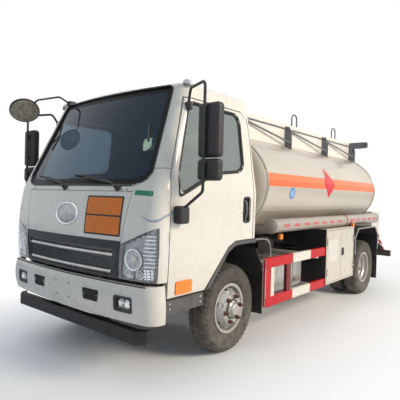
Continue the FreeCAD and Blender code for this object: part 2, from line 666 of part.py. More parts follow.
def leaf_spring(name, y, seat, half, leaves):
    """One left leaf spring: stacked leaves, eyes, hangers on the rail and U-bolt plate."""
    x = "spring_centre - spring_width / 2"
    parts = []
    for index in range(leaves):
        length = "%s * %.3f" % (half, 1 - 0.82 * (leaves - 1 - index) / leaves)
        parts.append(box("%s_leaf_%d" % (name, index), x, "%s - %s" % (y, length),
                         "%s + %d * leaf_thickness" % (seat, index), "spring_width",
                         "2 * " + length, "leaf_thickness"))
    top = "%s + %d * leaf_thickness" % (seat, leaves)
    for end, sign in (("front", -1), ("rear", 1)):
        eye_y = "%s + %d * %s" % (y, sign, half)
        parts.append(rod("%s_eye_%s" % (name, end), "X", x, eye_y, top + " - leaf_thickness / 2",
                         "26", "spring_width"))
        parts.append(slab("%s_hanger_%s" % (name, end), "YZ", [
            (eye_y + " - 24", top + " - leaf_thickness / 2"),
            (eye_y + " + 24", top + " - leaf_thickness / 2"),
            (eye_y + " + 60", "rail_bottom + 20"),
            (eye_y + " + 60", "rail_bottom + 120"),
            (eye_y + " - 60", "rail_bottom + 120"),
            (eye_y + " - 60", "rail_bottom + 20"),
        ], "rail_half", "spring_centre + spring_width / 2 - rail_half"))
    parts.append(box(name + "_clamp", x, y + " - 60", top, "spring_width", "120", "18"))
    return fuse(name, *parts)


front_spring = leaf_spring("front_spring", "front_axle_y", FRONT_SEAT, "front_spring_half", 4)
rear_spring = leaf_spring("rear_spring", REAR_Y, SPRING_SEAT, "rear_spring_half", 6)
springs = []
for spring in (front_spring, rear_spring):
    springs += [spring, mirror(spring.Name + "_right", spring)]
node(group("leaf_springs_all", *springs), "leaf_springs")

# Engine, gearbox and drive shaft

engine_block = box("engine_block", "-230", "front_axle_y - 380", "450", "460", "780", "500")
gearbox = box("gearbox", "-140", "front_axle_y + 400", "500", "280", "520", "260")
mounts = []
for index, along in enumerate((-60, 780)):
    mounts.append(box("engine_mount_%d" % index, "rail_wall + 0.3 - rail_half", "front_axle_y + %d" % along,
                      "600", "2 * (rail_half - rail_wall - 0.3)", "60", "60"))
node(fuse("engine_all", engine_block, gearbox, *mounts), "engine")
shaft_low = size("tyre_radius")
shaft_a = Vector(0, size("front_axle_y") + 920, 560)
shaft_b = Vector(0, size("front_axle_y") + size("wheelbase") - size("banjo_radius") - 90, shaft_low)
shaft_axis = shaft_b - shaft_a
shaft_length = shaft_axis.Length


def lengthwise(radius, start, stop):
    """A round length of the drive shaft, by its distances from the gearbox."""
    unit = Vector(shaft_axis).normalize()
    return Part.makeCylinder(radius, stop - start, shaft_a + unit * start, unit)


shaft = lengthwise(38, 60, shaft_length - 60)
for start, stop in ((0.5, 66), (shaft_length - 66, shaft_length - 14)):
    shaft = shaft.fuse(lengthwise(52, start, stop))
shaft_limits = Part.makeBox(400, shaft_b.y - shaft_a.y, 900, Vector(-200, shaft_a.y, 0))
node(feature("drive_shaft_body", shaft.common(shaft_limits)), "drive_shaft")

# Cab envelope: level sections lofted into one smooth body

AXLE_Y = size("front_axle_y")


def point(x, y, z):
    """A point given behind the front axle."""
    return Vector(x, AXLE_Y + y, z)


def level(z, front, half, rear, inset):
    """A closed level section of the cab: bowed front, round corners, flat sides and back."""
    half -= inset
    front += inset
    rear -= inset
    corner = size("front_corner")
    back = size("rear_corner")
    bow = front + size("front_bulge")
    lean = math.sqrt(0.5)

    def at(x, y):
        return Vector(x, AXLE_Y + y, z)

    nose = Part.Arc(at(corner - half, bow), at(0, front), at(half - corner, bow))
    left_corner = Part.Arc(at(half - corner, bow),
                           at(half - corner + corner * lean, bow + corner * (1 - lean)),
                           at(half, bow + corner))
    left_side = Part.LineSegment(at(half, bow + corner), at(half, rear - back))
    left_back = Part.Arc(at(half, rear - back), at(half - back + back * lean, rear - back + back * lean),
                         at(half - back, rear))
    tail = Part.LineSegment(at(half - back, rear), at(back - half, rear))
    right_back = Part.Arc(at(back - half, rear), at(back - half - back * lean, rear - back + back * lean),
                          at(-half, rear - back))
    right_side = Part.LineSegment(at(-half, rear - back), at(-half, bow + corner))
    right_corner = Part.Arc(at(-half, bow + corner),
                            at(corner - half - corner * lean, bow + corner * (1 - lean)),
                            at(corner - half, bow))
    curves = (nose, left_corner, left_side, left_back, tail, right_back, right_side, right_corner)
    return Part.Wire([curve.toShape() for curve in curves])


def envelope(inset, low):
    """The cab's outer form, drawn in by inset, from the height low up to the roof."""
    front = -size("cab_front")
    half = size("cab_half")
    rear = size("cab_rear")
    waist = size("cab_waist")
    eaves = size("eaves")
    foot = front + 55
    belly = [
        level(low, front + 18, size("sill_half"), rear, inset),
        level(size("hood_low"), front, half - 5, rear, inset),
        level(waist, foot, half, rear, inset),
    ]
    screen_top = foot + size("screen_rake")
    glasshouse = [
        level(waist, foot, half, rear, inset),
        level(eaves, screen_top, size("eaves_half"), rear - 40, inset),
    ]
    roof = []
    steps = 5
    for step in range(steps):
        angle = math.radians(90) * step / (steps - 1)
        draw_in = size("roof_shoulder") * (1 - math.cos(angle))
        rise = (size("roof_rise") - inset) * math.sin(angle)
        roof.append(level(eaves + rise, screen_top + draw_in, size("eaves_half") - draw_in,
                          rear - 40 - draw_in, inset))
    body = Part.makeLoft(belly, True, False)
    for stack in (glasshouse, roof):
        body = body.fuse(Part.makeLoft(stack, True, False))
    return body.removeSplitter()


def prism(plane, corners, start, stop):
    """A straight-edged outline of numbers, made solid between two depths."""
    shaped = {
        "YZ": lambda u, v: Vector(start, AXLE_Y + u, v),
        "XZ": lambda u, v: Vector(u, AXLE_Y + start, v),
        "XY": lambda u, v: Vector(u, AXLE_Y + v, start),
    }[plane]
    reach = {"YZ": Vector(stop - start, 0, 0), "XZ": Vector(0, stop - start, 0),
             "XY": Vector(0, 0, stop - start)}[plane]
    points = [shaped(u, v) for u, v in corners]
    return Part.Face(Part.makePolygon(points + points[:1])).extrude(reach)


def rounded(solid, radius, direction):
    """A prism with the edges along one direction rounded."""
    chosen = []
    for edge in solid.Edges:
        line = edge.Vertexes[1].Point - edge.Vertexes[0].Point
        if abs(line.normalize().dot(direction)) > 0.999:
            chosen.append(edge)
    return solid.makeFillet(radius, chosen)


wall = size("cab_wall")
skin = size("skin")
seat_gap = size("seat_gap")
sill = size("cab_sill")
outer = envelope(0, sill)
inner = envelope(wall, sill - 50)
under_skin = envelope(skin + seat_gap, sill - 50)
skin_in = envelope(skin, sill - 50)
shell = outer.cut(inner)
X_AXIS, Y_AXIS = Vector(1, 0, 0), Vector(0, 1, 0)
WIDE = size("cab_half") + 200

# Outlines on the cab's sides, as distances behind the front axle and heights

gap = size("door_gap")
door_f, door_r, door_t = -size("door_front"), size("door_rear"), size("door_top")
arch_f, arch_t = -size("arch_front"), size("arch_height")
waist_z, eaves_z = size("cab_waist"), size("eaves")
door_knee = size("door_knee")
pillar_top = door_f + size("door_lean")
arch_line = [(arch_f, sill), (-125, arch_t - 48), (-20, arch_t - 4), (80, arch_t)]


def door_outline(grow):
    """The door's outline: raked front pillar, wheel arch below."""
    return [
        (door_f - grow, sill - grow),
        (door_f - grow, door_knee),
        (door_f + 12 - grow, door_knee + 90),
        (pillar_top - grow, door_t + grow),
        (door_r - 110, door_t + grow),
        (door_r - 20 + grow, door_t - 60),
        (door_r + grow, door_t - 160),
        (door_r + grow, arch_t - grow),
        (80, arch_t - grow),
        (-20, arch_t - 4 - grow),
        (-125 + grow / 2, arch_t - 48 - grow),
        (arch_f + grow, sill - grow),
    ]


def window_outline(grow):
    """The side window, whose lower edge drops towards the front."""
    return [
        (door_f + 90 - grow, 1372 - grow),
        (door_f + 96 - grow, door_knee + 90),
        (pillar_top + 34 - grow, door_t - 34 + grow),
        (door_r - 190, door_t - 34 + grow),
        (door_r - 140 + grow, door_t - 90),
        (door_r - 140 + grow, 1650 - grow),
        (door_r - 205, 1598 - grow),
        (-330, 1560 - grow),
    ]


arch_tool = prism("YZ", [(arch_f, sill - 60)] + arch_line + [(size("cab_rear") + 60, arch_t),
                                                            (size("cab_rear") + 60, sill - 60)], -WIDE, WIDE)
front_tool = prism("YZ", [(-1300, sill - 60), (door_f - gap / 2, sill - 60),
                          (door_f - gap / 2, size("front_sill")), (-1300, size("front_sill"))], -WIDE, WIDE)
shell = shell.cut(arch_tool).cut(front_tool)

# Doors: the whole thickness of the wall, with the window cut

door_depth = size("screen_half_high") + 40
door_tool = prism("YZ", door_outline(0), door_depth + gap, WIDE)
door_hole = prism("YZ", door_outline(gap), door_depth, WIDE)
window_tool = rounded(prism("YZ", window_outline(0), door_depth, WIDE), 45, X_AXIS)
door_blank = shell.common(door_tool)
handle_tool = rounded(prism("YZ", [(95, 1155), (185, 1155), (185, 1365), (95, 1365)],
                            size("cab_half") - 22, WIDE), 30, X_AXIS)
door_shape = door_blank.cut(window_tool).cut(handle_tool)
shell = shell.cut(door_hole).cut(door_hole.mirror(Vector(), X_AXIS))
glass_layer = envelope(14, sill - 50).cut(envelope(14 + size("glass"), sill - 50))
pane_tool = rounded(prism("YZ", window_outline(-0.4), door_depth, WIDE), 44.6, X_AXIS)
for side, tool in (("left", pane_tool), ("right", pane_tool.mirror(Vector(), X_AXIS))):
    pane = glass_layer.common(tool)
    node(feature("door_glass_%s_body" % side, pane), "door_glass_" + side)

# Door hinges: fixed knuckles with a pin on the cab, one swinging knuckle on the door

hinge_out, hinge_pin = size("door_hinge_radius"), size("door_pin_radius")
hinge_at = Vector(size("cab_half"), AXLE_Y + door_f - gap / 2, 0)
knuckle_high, knuckle_ease = 22, 1.5


def hinge_part(low, high, way):
    """One hinge knuckle with its root inside the wall; way is -1 for the cab and 1 for the door."""
    barrel = Part.makeCylinder(hinge_out, high - low, hinge_at + Vector(0, 0, low))
    root = Part.makeBox(20, 26, high - low, hinge_at + Vector(-25, 0 if way > 0 else -26, low))
    return barrel.fuse(root)


for level_z in (arch_t + 80, waist_z - 90):
    low, high = level_z - knuckle_high / 2, level_z + knuckle_high / 2
    clear = Part.makeCylinder(hinge_out + knuckle_ease, knuckle_high + 2 * knuckle_ease,
                              hinge_at + Vector(0, 0, low - knuckle_ease))
    ends = Part.makeCompound([
        Part.makeCylinder(hinge_out + knuckle_ease, knuckle_high + knuckle_ease,
                          hinge_at + Vector(0, 0, low - knuckle_ease - knuckle_high - knuckle_ease)),
        Part.makeCylinder(hinge_out + knuckle_ease, knuckle_high + knuckle_ease,
                          hinge_at + Vector(0, 0, high + knuckle_ease)),
    ])
    bore = Part.makeCylinder(hinge_pin + size("running_fit"), 4 * knuckle_high,
                             hinge_at + Vector(0, 0, level_z - 2 * knuckle_high))
    pin = Part.makeCylinder(hinge_pin, 3 * knuckle_high,
                            hinge_at + Vector(0, 0, level_z - 1.5 * knuckle_high))
    door_shape = door_shape.cut(ends).fuse(hinge_part(low, high, 1)).cut(bore)
    fixed = hinge_part(low - knuckle_ease - knuckle_high, low - knuckle_ease, -1)
    fixed = fixed.fuse(hinge_part(high + knuckle_ease, high + knuckle_ease + knuckle_high, -1)).fuse(pin)
    for flip in (False, True):
        for change, tool in (("cut", clear), ("fuse", fixed)):
            tool = tool.mirror(Vector(), X_AXIS) if flip else tool
            shell = shell.cut(tool) if change == "cut" else shell.fuse(tool)
left_door = node(feature("door_left_body", door_shape), "door_left")
node(mirror("door_right_body", left_door), "door_right")

# Front: windscreen, hood, grille and headlamps, each a piece of the same form

low_half, high_half = size("screen_half_low"), size("screen_half_high")
cowl = size("cowl_height")
screen_outline = [
    (-low_half + 120, cowl), (low_half - 120, cowl), (low_half, cowl + 62),
    (high_half, eaves_z + 26), (-high_half, eaves_z + 26), (-low_half, cowl + 62),
]
screen_tool = rounded(prism("XZ", screen_outline, -1500, -300), 60, Y_AXIS)
screen_glass = glass_layer.common(screen_tool)
hood_half, hood_low, hood_high = size("hood_half"), size("hood_low"), size("hood_high")
fs = size("front_sill")
ease = size("panel_gap")
lamp_high = size("lamp_high")
grille_top, hood_top = hood_half + size("grille_flare"), hood_half + size("hood_flare")
hood_outline = [(-grille_top, hood_low), (grille_top, hood_low),
                (hood_top, hood_high), (-hood_top, hood_high)]
grille_outline = [(-hood_half, fs), (hood_half, fs),
                  (grille_top, hood_low - ease), (-grille_top, hood_low - ease)]
lamp_outline = [(hood_half + ease, fs), (size("cab_half") + 50, fs), (size("cab_half") + 50, lamp_high),
                (grille_top + ease, hood_low - 20)]
front_skin = outer.cut(skin_in)
deep = (-1300, -size("lamp_rear"))
hood_shape = front_skin.common(prism("XZ", hood_outline, -1300, -700))
grille_zone = front_skin.common(prism("XZ", grille_outline, -1300, -700))
lamp_zone = front_skin.common(prism("XZ", lamp_outline, *deep))
recess = outer.cut(under_skin)
front_zone = prism("XZ", [(-hood_top - ease, hood_high + ease), (hood_top + ease, hood_high + ease),
                          (grille_top + ease, hood_low), (hood_half + ease, fs - 5),
                          (-hood_half - ease, fs - 5),
                          (-grille_top - ease, hood_low)], -1300, -700)
lamp_recess = prism("XZ", lamp_outline, -1300, -size("lamp_rear") + ease)
shell = shell.cut(recess.common(front_zone))
for tool in (lamp_recess, lamp_recess.mirror(Vector(), X_AXIS)):
    shell = shell.cut(recess.common(tool))
shell = shell.cut(screen_tool)
rear_outline = [(-560, 1560), (560, 1560), (560, 2020), (-560, 2020)]
rear_tool = rounded(prism("XZ", rear_outline, 100, 500), 70, Y_AXIS)
rear_glass = glass_layer.common(rounded(prism("XZ", rear_outline, 100, 500), 70, Y_AXIS))
shell = shell.cut(rear_tool)

# Floor, footwell and the lugs of the tilt pins

floor_wall, floor_z, foot_z = size("floor_wall"), size("floor_height"), size("footwell_height")
tilt_y, tilt_z = -size("tilt_axis_y"), size("tilt_axis_z")
floor_profile = [
    (-size("cab_front"), foot_z), (arch_f - 120, foot_z), (arch_f + 40, floor_z), (size("cab_rear"), floor_z),
    (size("cab_rear"), floor_z + floor_wall), (arch_f + 20, floor_z + floor_wall),
    (arch_f - 140, foot_z + floor_wall), (-size("cab_front"), foot_z + floor_wall),
]
floor = prism("YZ", floor_profile, -WIDE, WIDE)
beyond_doors = Part.makeCompound([
    Part.makeBox(2 * WIDE, 400, 900, point(-WIDE, -size("door_front") - gap - 400, sill)),
    Part.makeBox(2 * WIDE, 400, 900, point(-WIDE, door_r + gap, sill)),
])
floor_edge = floor.common(envelope(wall - 1, sill - 50)).common(beyond_doors)
shell = shell.fuse(floor.common(envelope(wall + gap, sill - 50))).fuse(floor_edge)
LUG_X, LUG_W = size("rail_half") - size("rail_flange") - 4, 40
pin_r = size("tilt_pin")
lug_rise = foot_z + 1 - tilt_z
for sign in (1, -1):
    lug = prism("YZ", [(tilt_y - 26, tilt_z + 10), (tilt_y - 26, tilt_z - 12), (tilt_y - 12, tilt_z - 28),
                       (tilt_y + 20, tilt_z - 28), (tilt_y + 36, tilt_z - 14),
                       (tilt_y + 50 + lug_rise, foot_z + 1), (tilt_y - 36 + lug_rise, foot_z + 1)],
                sign * (LUG_X - LUG_W), sign * LUG_X)
    hole = Part.makeCylinder(pin_r + size("running_fit"), 300,
                             Vector(sign * LUG_X - 150, AXLE_Y + tilt_y, tilt_z), X_AXIS)
    shell = shell.fuse(lug.cut(hole))
node(feature("cab_shell_body", shell), "cab_shell")
node(feature("hood_body", hood_shape), "front_hood")
node(feature("cab_glass_body", Part.makeCompound([screen_glass, rear_glass])), "cab_glass")

# Grille: a frame with rows of openings between its bars

ROWS, COLUMNS = 6, 8
grille_edge, bar_width = 24, 16
cell_high = (hood_low - ease - fs - 2 * grille_edge + bar_width) / ROWS
cell_wide = (2 * hood_half - 2 * grille_edge + bar_width) / COLUMNS
holes = []
for row in range(ROWS):
    for column in range(COLUMNS):
        x = -hood_half + grille_edge + column * cell_wide
        z = fs + grille_edge + row * cell_high
        holes.append(Part.makeBox(cell_wide - bar_width, 600, cell_high - bar_width, point(x, -1300, z)))
node(feature("grille_body", grille_zone.cut(Part.makeCompound(holes))), "grille")

# Cab lamps: headlamps round the corners and two marker lamps on the roof

lamps = [lamp_zone, lamp_zone.mirror(Vector(), X_AXIS)]
lamp_at = point(size("eaves_half") - 31, -548, eaves_z + 34)
roof_lamp = Part.makeSphere(38, lamp_at).cut(envelope(-seat_gap, sill))
lamps += [roof_lamp, roof_lamp.mirror(Vector(), X_AXIS)]
node(feature("cab_lamps_body", Part.makeCompound(lamps)), "cab_lamps")

# Wheel arch trims inside the doors' lower edge

trim = size("arch_trim")
trim_outline = [(arch_f + 10, sill)] + [(u + 3, v - 8) for u, v in arch_line[1:]] + [
    (size("cab_rear"), arch_t - 8), (size("cab_rear"), arch_t - 8 - trim), (80, arch_t - 8 - trim),
    (-10, arch_t - 14 - trim), (-104, arch_t - 66 - trim * 0.8), (arch_f + 10 + trim * 1.4, sill),
]
trim_band = prism("YZ", trim_outline, size("cab_half") - 190, size("cab_half") - 12)
block_rear = size("cab_rear") - wall - 3
seat_block = prism("YZ", [(120, arch_t - 12), (block_rear, arch_t - 12),
                          (block_rear, floor_z - seat_gap), (120, floor_z - seat_gap)],
                   size("cab_half") - 190, size("cab_half") - 115)
arch_left = trim_band.fuse(seat_block)
node(pair("arch_trims_all", feature("arch_trim_left", arch_left)), "arch_trims")

# Cab interior: seats, dashboard and steering wheel


def seat(x, wide):
    """A seat with cushion, back and base, standing on the cab floor."""
    top = floor_z + floor_wall
    base = Part.makeBox(wide - 80, 330, 180, Vector(x - wide / 2 + 40, AXLE_Y - 210, top + seat_gap))
    cushion = rounded(prism("YZ", [(-290, top + 180), (150, top + 180), (150, top + 300), (-290, top + 330)],
                            x - wide / 2, x + wide / 2), 40, X_AXIS)
    back = rounded(prism("YZ", [(70, top + 290), (190, top + 290), (262, top + 860), (160, top + 860)],
                         x - wide / 2 + 10, x + wide / 2 - 10), 40, X_AXIS)
    return base.fuse(cushion).fuse(back)


node(feature("seats_body", Part.makeCompound([seat(420, 500), seat(-300, 780)])), "seats")
dash_profile = [(-930, 1010), (-600, 1010), (-560, 1180), (-600, 1390), (-700, 1432), (-955, 1400)]
dash_stay = prism("YZ", [(-900, foot_z + floor_wall + seat_gap), (-760, foot_z + floor_wall + seat_gap),
                         (-760, 1030), (-900, 1030)], -220, 220)
dash = rounded(prism("YZ", dash_profile, -880, 880), 30, X_AXIS).common(envelope(wall + 6, sill - 50))
node(feature("dashboard_body", dash.fuse(dash_stay)), "dashboard")
STEER = Vector(420, AXLE_Y - 545, 1490)
wheel_axis = Vector(0, 0.5, 0.866)
ring = Part.makeTorus(215, 14, STEER, wheel_axis)
hub = Part.makeCylinder(55, 40, STEER - wheel_axis * 30, wheel_axis)
column = Part.makeCylinder(28, 170, STEER - wheel_axis * 200, wheel_axis)
spokes = hub.fuse(column)
for angle in (90, 210, 330):
    spoke = Part.makeBox(190, 34, 12, Vector(30, -17, -6))
    spoke.rotate(Vector(), Vector(0, 0, 1), angle)
    tilted = FreeCAD.Placement(STEER, Rotation(Vector(0, 0, 1), wheel_axis))
    spoke.Placement = tilted.multiply(spoke.Placement)
    spokes = spokes.fuse(spoke)
helm = ring.fuse(spokes).cut(dash)
node(feature("steering_wheel_body", helm), "steering_wheel")

# Wipers on the cowl


def tube_path(points, radius, bend):
    """A round bar along straight runs joined by tangent arcs."""
    edges = []
    start = points[0]
    for before, corner, after in zip(points, points[1:], points[2:]):
        inward = (before - corner).normalize()
        outward = (after - corner).normalize()
        half_turn = (math.pi - inward.getAngle(outward)) / 2
        reach = bend * math.tan(half_turn)
        arc_in = corner + inward * reach
        arc_out = corner + outward * reach
        middle = (inward + outward).normalize()
        centre = corner + middle * (bend / math.cos(half_turn))
        edges.append(Part.LineSegment(start, arc_in).toShape())
        edges.append(Part.Arc(arc_in, centre - middle * bend, arc_out).toShape())
        start = arc_out
    edges.append(Part.LineSegment(start, points[-1]).toShape())
    spine = Part.Wire(edges)
    first = (points[1] - points[0]).normalize()
    profile = Part.Wire(Part.Circle(points[0], first, radius).toShape())
    return spine.makePipeShell([profile], True, False, 2)


def on_screen(x, z, stand):
    """A point standing off the windscreen at a place in front view."""
    foot = -size("cab_front") + 55
    share = (z - waist_z) / (eaves_z - waist_z)
    nose = foot + size("screen_rake") * share
    half = size("cab_half") + (size("eaves_half") - size("cab_half")) * share
    bow = size("front_bulge") * (x / (half - size("front_corner"))) ** 2
    return Vector(x, AXLE_Y + nose + bow - stand, z)


wipers = []
for x in (-90, 560):
    pivot = on_screen(x, waist_z + 2, -8)
    tip = on_screen(x - 430, cowl + 62, 18)
    knee = on_screen(x - 60, cowl + 12, 24)
    stem = Part.makeCylinder(12, 44, pivot + Vector(0, -2, 0), Vector(0, -1, 0.25))
    root = pivot + Vector(0, -38, 8)
    arm = Part.makeCylinder(6, (knee - root).Length, root, knee - root)
    long_arm = Part.makeCylinder(6, (tip - knee).Length, knee, tip - knee)
    joint = Part.makeSphere(9, knee)
    one = stem.fuse(arm).fuse(joint).fuse(long_arm).cut(outer)
    wipers.append(max(one.Solids, key=lambda solid: solid.Volume))
node(feature("wipers_body", Part.makeCompound(wipers)), "wipers")

# Mirrors on the doors


def soft_box(centre, wide, deep_, tall, radius):
    """A housing with all its upright and level edges rounded."""
    block = Part.makeBox(wide, deep_, tall, centre - Vector(wide / 2, deep_ / 2, tall / 2))
    return block.makeFillet(radius, block.Edges)


def mirror_set():
    """The left mirror set: bracket on the door's frame, arm, two heads and the foot."""
    head = soft_box(point(1210, -727, 1842), 190, 84, 385, 30)
    wide_head = soft_box(point(1210, -727, 1562), 190, 84, 155, 30)
    arm = tube_path([point(890, -603, 2080), point(950, -650, 2192), point(1196, -786, 2182),
                     point(1196, -786, 1405), point(1000, -790, 1262)], 11, 50)
    foot = soft_box(point(1010, -790, 1235), 78, 110, 130, 20)
    bracket = soft_box(point(894, -603, 2072), 60, 38, 64, 12)
    whole = head.fuse(wide_head).fuse(arm).fuse(foot).fuse(bracket)
    for z in (1950, 1740, 1562):
        whole = whole.fuse(Part.makeBox(24, 60, 26, point(1184, -792, z - 13)))
    whole = whole.cut(envelope(-seat_gap, sill))
    return max(whole.Solids, key=lambda solid: solid.Volume)


left_mirror = node(feature("mirror_left_body", mirror_set()), "mirror_left")
node(mirror("mirror_right_body", left_mirror), "mirror_right")

# Round mirror on an arm over the right front corner, facing down and across

round_centre = point(-1004, -930, 2187)
facing = Vector(0.58, -0.31, -0.755)
round_radius, round_wall, round_back = 146, 22, 18
round_head = Part.makeCylinder(round_radius, round_wall, round_centre - facing * round_wall, facing)
round_head = round_head.makeFillet(6, [edge for edge in round_head.Edges if edge.Closed])
dome_foot = round_centre - facing * (round_wall + round_back)
dome = Part.makeCone(round_radius - 70, round_radius - 16, round_back + 0.5, dome_foot, facing)
round_arm = tube_path([point(-712, -590, 2285), point(-738, -705, 2338), point(-880, -860, 2296),
                       point(-930, -886, 2254)], 9, 30)
round_base = soft_box(point(-712, -575, 2285), 70, 80, 50, 10)
round_mirror = round_head.fuse(dome).fuse(round_arm).fuse(round_base).cut(envelope(-seat_gap, sill))
node(feature("front_mirror_body", max(round_mirror.Solids, key=lambda solid: solid.Volume)), "front_mirror")

# Front bumper with fog lamp wells, vents and number plate holes

bumper_half, bumper_wall = size("bumper_half"), size("bumper_wall")
bumper_low, bumper_high = size("bumper_low"), size("bumper_high")


def bumper_form(inset, low, high):
    """The bumper's form as a solid, drawn in by inset."""
    front = -size("bumper_front")
    rear = -size("door_front") - 26
    wires = []
    for z, back in ((low, 22), (low + (high - low) * 0.3, 0), (high, 12)):
        wires.append(level(z, front + back, bumper_half - back * 0.4, rear + 400, inset))
    form = Part.makeLoft(wires, True, False)
    return form.common(prism("XZ", [(-1100, low), (1100, low), (1100, high), (-1100, high)], -1300, rear))


def fog_block(sign, grow, start, stop):
    """The round-cornered block of one fog lamp, grown all round."""
    middle, high = sign * size("fog_x"), size("fog_z")
    half, rise = size("fog_half") + grow, size("fog_rise") + grow
    corners = [(middle - half, high - rise), (middle + half, high - rise),
               (middle + half, high + rise), (middle - half, high + rise)]
    return rounded(prism("XZ", corners, start, stop), 14 + grow, Y_AXIS)


bumper = bumper_form(0, bumper_low, bumper_high)
bumper_end = -size("door_front") - 26
bumper = bumper.cut(prism("YZ", [(bumper_end - 16, bumper_high + 1), (bumper_end - 16, bumper_high - 40),
                                 (bumper_end + 1, bumper_low - 1), (bumper_end + 40, bumper_low - 1),
                                 (bumper_end + 40, bumper_high + 1)], -WIDE, WIDE))
bumper = bumper.cut(bumper_form(bumper_wall, bumper_low - 1, bumper_high + 1))
front_of_bumper = prism("XZ", [(-500, 500), (500, 500), (500, 700), (-500, 700)], -1300, -900).cut(
    bumper_form(bumper_wall - 1, bumper_low, bumper_high))
for sign in (1, -1):
    bumper = bumper.cut(fog_block(sign, 0.4, -1250, -850))
    bumper = bumper.cut(rounded(prism("XZ", [(sign * 285, 560), (sign * 445, 560), (sign * 425, 625),
                                             (sign * 305, 625)], -1300, -900), 14, Y_AXIS))
    for z in (530, 640):
        bumper = bumper.cut(Part.makeCylinder(3.5, 400, point(sign * 91, -1250, z), Y_AXIS))
    stay_x = sign * (size("rail_half") + 18.3) - 18
    stay = Part.makeBox(36, 1190 - size("rail_front"), 40, point(stay_x, -1130, 590))
    bumper = bumper.fuse(stay.cut(front_of_bumper))
node(feature("bumper_body", bumper), "front_bumper")

# Chassis lamps: fog lamps in the bumper and tail lamps on the rear bar

chassis_lamps = []
tail_y = size("wheelbase") + size("rear_overhang")
tail_z = size("rear_bar_low") + size("rear_bar_height")
for sign in (1, -1):
    chassis_lamps.append(fog_block(sign, 0, -1058, -998))
    tail_lamp = prism("XZ", [(sign * 600, tail_z), (sign * 800, tail_z), (sign * 800, tail_z + 110),
                             (sign * 600, tail_z + 110)], tail_y + 4, tail_y + 56)
    chassis_lamps.append(tail_lamp)
node(feature("chassis_lamps_body", Part.makeCompound(chassis_lamps)), "chassis_lamps")

# Front underrun bar on two drop arms

BAR_FRONT = "front_axle_y - 1045"
under_bar = slab("under_bar", "XY", [
    ("bar_half", BAR_FRONT + " + 62"),
    ("bar_half - 70", BAR_FRONT),
    ("70 - bar_half", BAR_FRONT),
    ("-bar_half", BAR_FRONT + " + 62"),
    ("-bar_half", BAR_FRONT + " + 110"),
    ("70 - bar_half", BAR_FRONT + " + 62"),
    ("bar_half - 70", BAR_FRONT + " + 62"),
    ("bar_half", BAR_FRONT + " + 110"),
], "bar_low", "bar_height")
drop_arms = []
for side, sign in sides():
    drop_arms.append(slab("drop_arm_" + side, "YZ", [
        (BAR_FRONT + " + 61", "bar_low + 10"),
        (BAR_FRONT + " + 130", "bar_low + 10"),
        (RAIL_Y + " + 90", "rail_bottom"),
        (RAIL_Y, "rail_bottom"),
        (BAR_FRONT + " + 61", "bar_low + bar_height"),
    ], "%d * (rail_half - 30) - 20" % sign, "40"))
node(fuse("front_underrun_body", under_bar, *drop_arms), "front_underrun_bar")

# Cab tilt brackets on the rails' front ends, with the pins


def tilt_bracket(sign):
    """A bracket on a rail's end that holds one tilt pin."""
    inner_x = LUG_X + 3
    outer_x = size("rail_half")
    plate = prism("YZ", [(tilt_y - 30, tilt_z - 26), (tilt_y - 30, tilt_z + 24), (tilt_y + 30, tilt_z + 34),
                         (-size("rail_front") - 0, size("rail_bottom") + size("rail_height") - 20),
                         (-size("rail_front"), size("rail_bottom") + 10), (tilt_y + 20, tilt_z - 42)],
                  sign * inner_x, sign * outer_x)
    pin = Part.makeCylinder(pin_r, outer_x - (LUG_X - LUG_W) + 10,
                            Vector(sign * (LUG_X - LUG_W - 10), AXLE_Y + tilt_y, tilt_z), X_AXIS * sign)
    return plate.fuse(pin)


node(feature("tilt_brackets_body", Part.makeCompound([tilt_bracket(1), tilt_bracket(-1)])), "tilt_brackets")

# Entry steps on outriggers from the rails

STEP_X = "step_half - step_depth"
STEP_Y = "front_axle_y - step_front"
step_block = box("step_block", STEP_X, STEP_Y, "step_top - step_height",
                 "step_depth", "step_length", "step_height")
step_hollow = box("step_hollow", STEP_X + " - 1", STEP_Y + " + 14", "step_top - step_height - 1",
                  "step_depth - 13", "step_length - 28", "step_height - 13")
outrigger = box("step_outrigger", "rail_half", STEP_Y + " + 130", "step_top - 50",
                "step_half - rail_half - 20", "50", "36")
step_left = fuse("step_left", cut("step_shell", step_block, step_hollow), outrigger)
node(pair("entry_steps_all", step_left), "entry_steps")

# Tank: oval shell with dished ends and rolled seams


tank_f = size("tank_front")
tank_r = tank_f + size("tank_length")
seam_rise, seam_width = size("seam_rise"), size("seam_width")


def oval(grow, start, stop):
    """A block of the tank's oval section, grown all round, between two distances."""
    centre = point(0, start, size("tank_centre"))
    ellipse = Part.Ellipse(centre + Vector(size("tank_half_width") + grow, 0, 0),
                           centre + Vector(0, 0, size("tank_half_height") + grow), centre)
    return Part.Face(Part.Wire(ellipse.toShape())).extrude(Vector(0, stop - start, 0))


def dish(y, direction):
    """A dished end: half an ellipsoid that bulges from the distance y."""
    ball = 1000.0
    stretch = FreeCAD.Matrix()
    stretch.A11 = -direction * size("tank_half_width") / ball
    stretch.A22, stretch.A23 = 0, direction * size("dish_depth") / ball
    stretch.A32, stretch.A33 = size("tank_half_height") / ball, 0
    half = Part.makeSphere(ball, Vector(), Vector(0, 0, 1), 0, 90, 360).transformGeometry(stretch)
    half.translate(point(0, y, size("tank_centre")))
    return half


SEAMS = ((tank_f, tank_f + seam_width), (tank_r - seam_width, tank_r))
tank_shape = oval(0, tank_f + 10, tank_r - 10)
for start, stop in SEAMS:
    tank_shape = tank_shape.fuse(oval(seam_rise, start, stop))
tank_shape = tank_shape.fuse(dish(tank_f + 6, -1)).fuse(dish(tank_r - 6, 1))
node(feature("tank_body", tank_shape), "tank")
oversize = oval(seat_gap, tank_f - 10, tank_r + 10)
seam_room = [oval(seam_rise + seat_gap, start - seat_gap, stop + seat_gap) for start, stop in SEAMS]

# Cradles between rails and tank

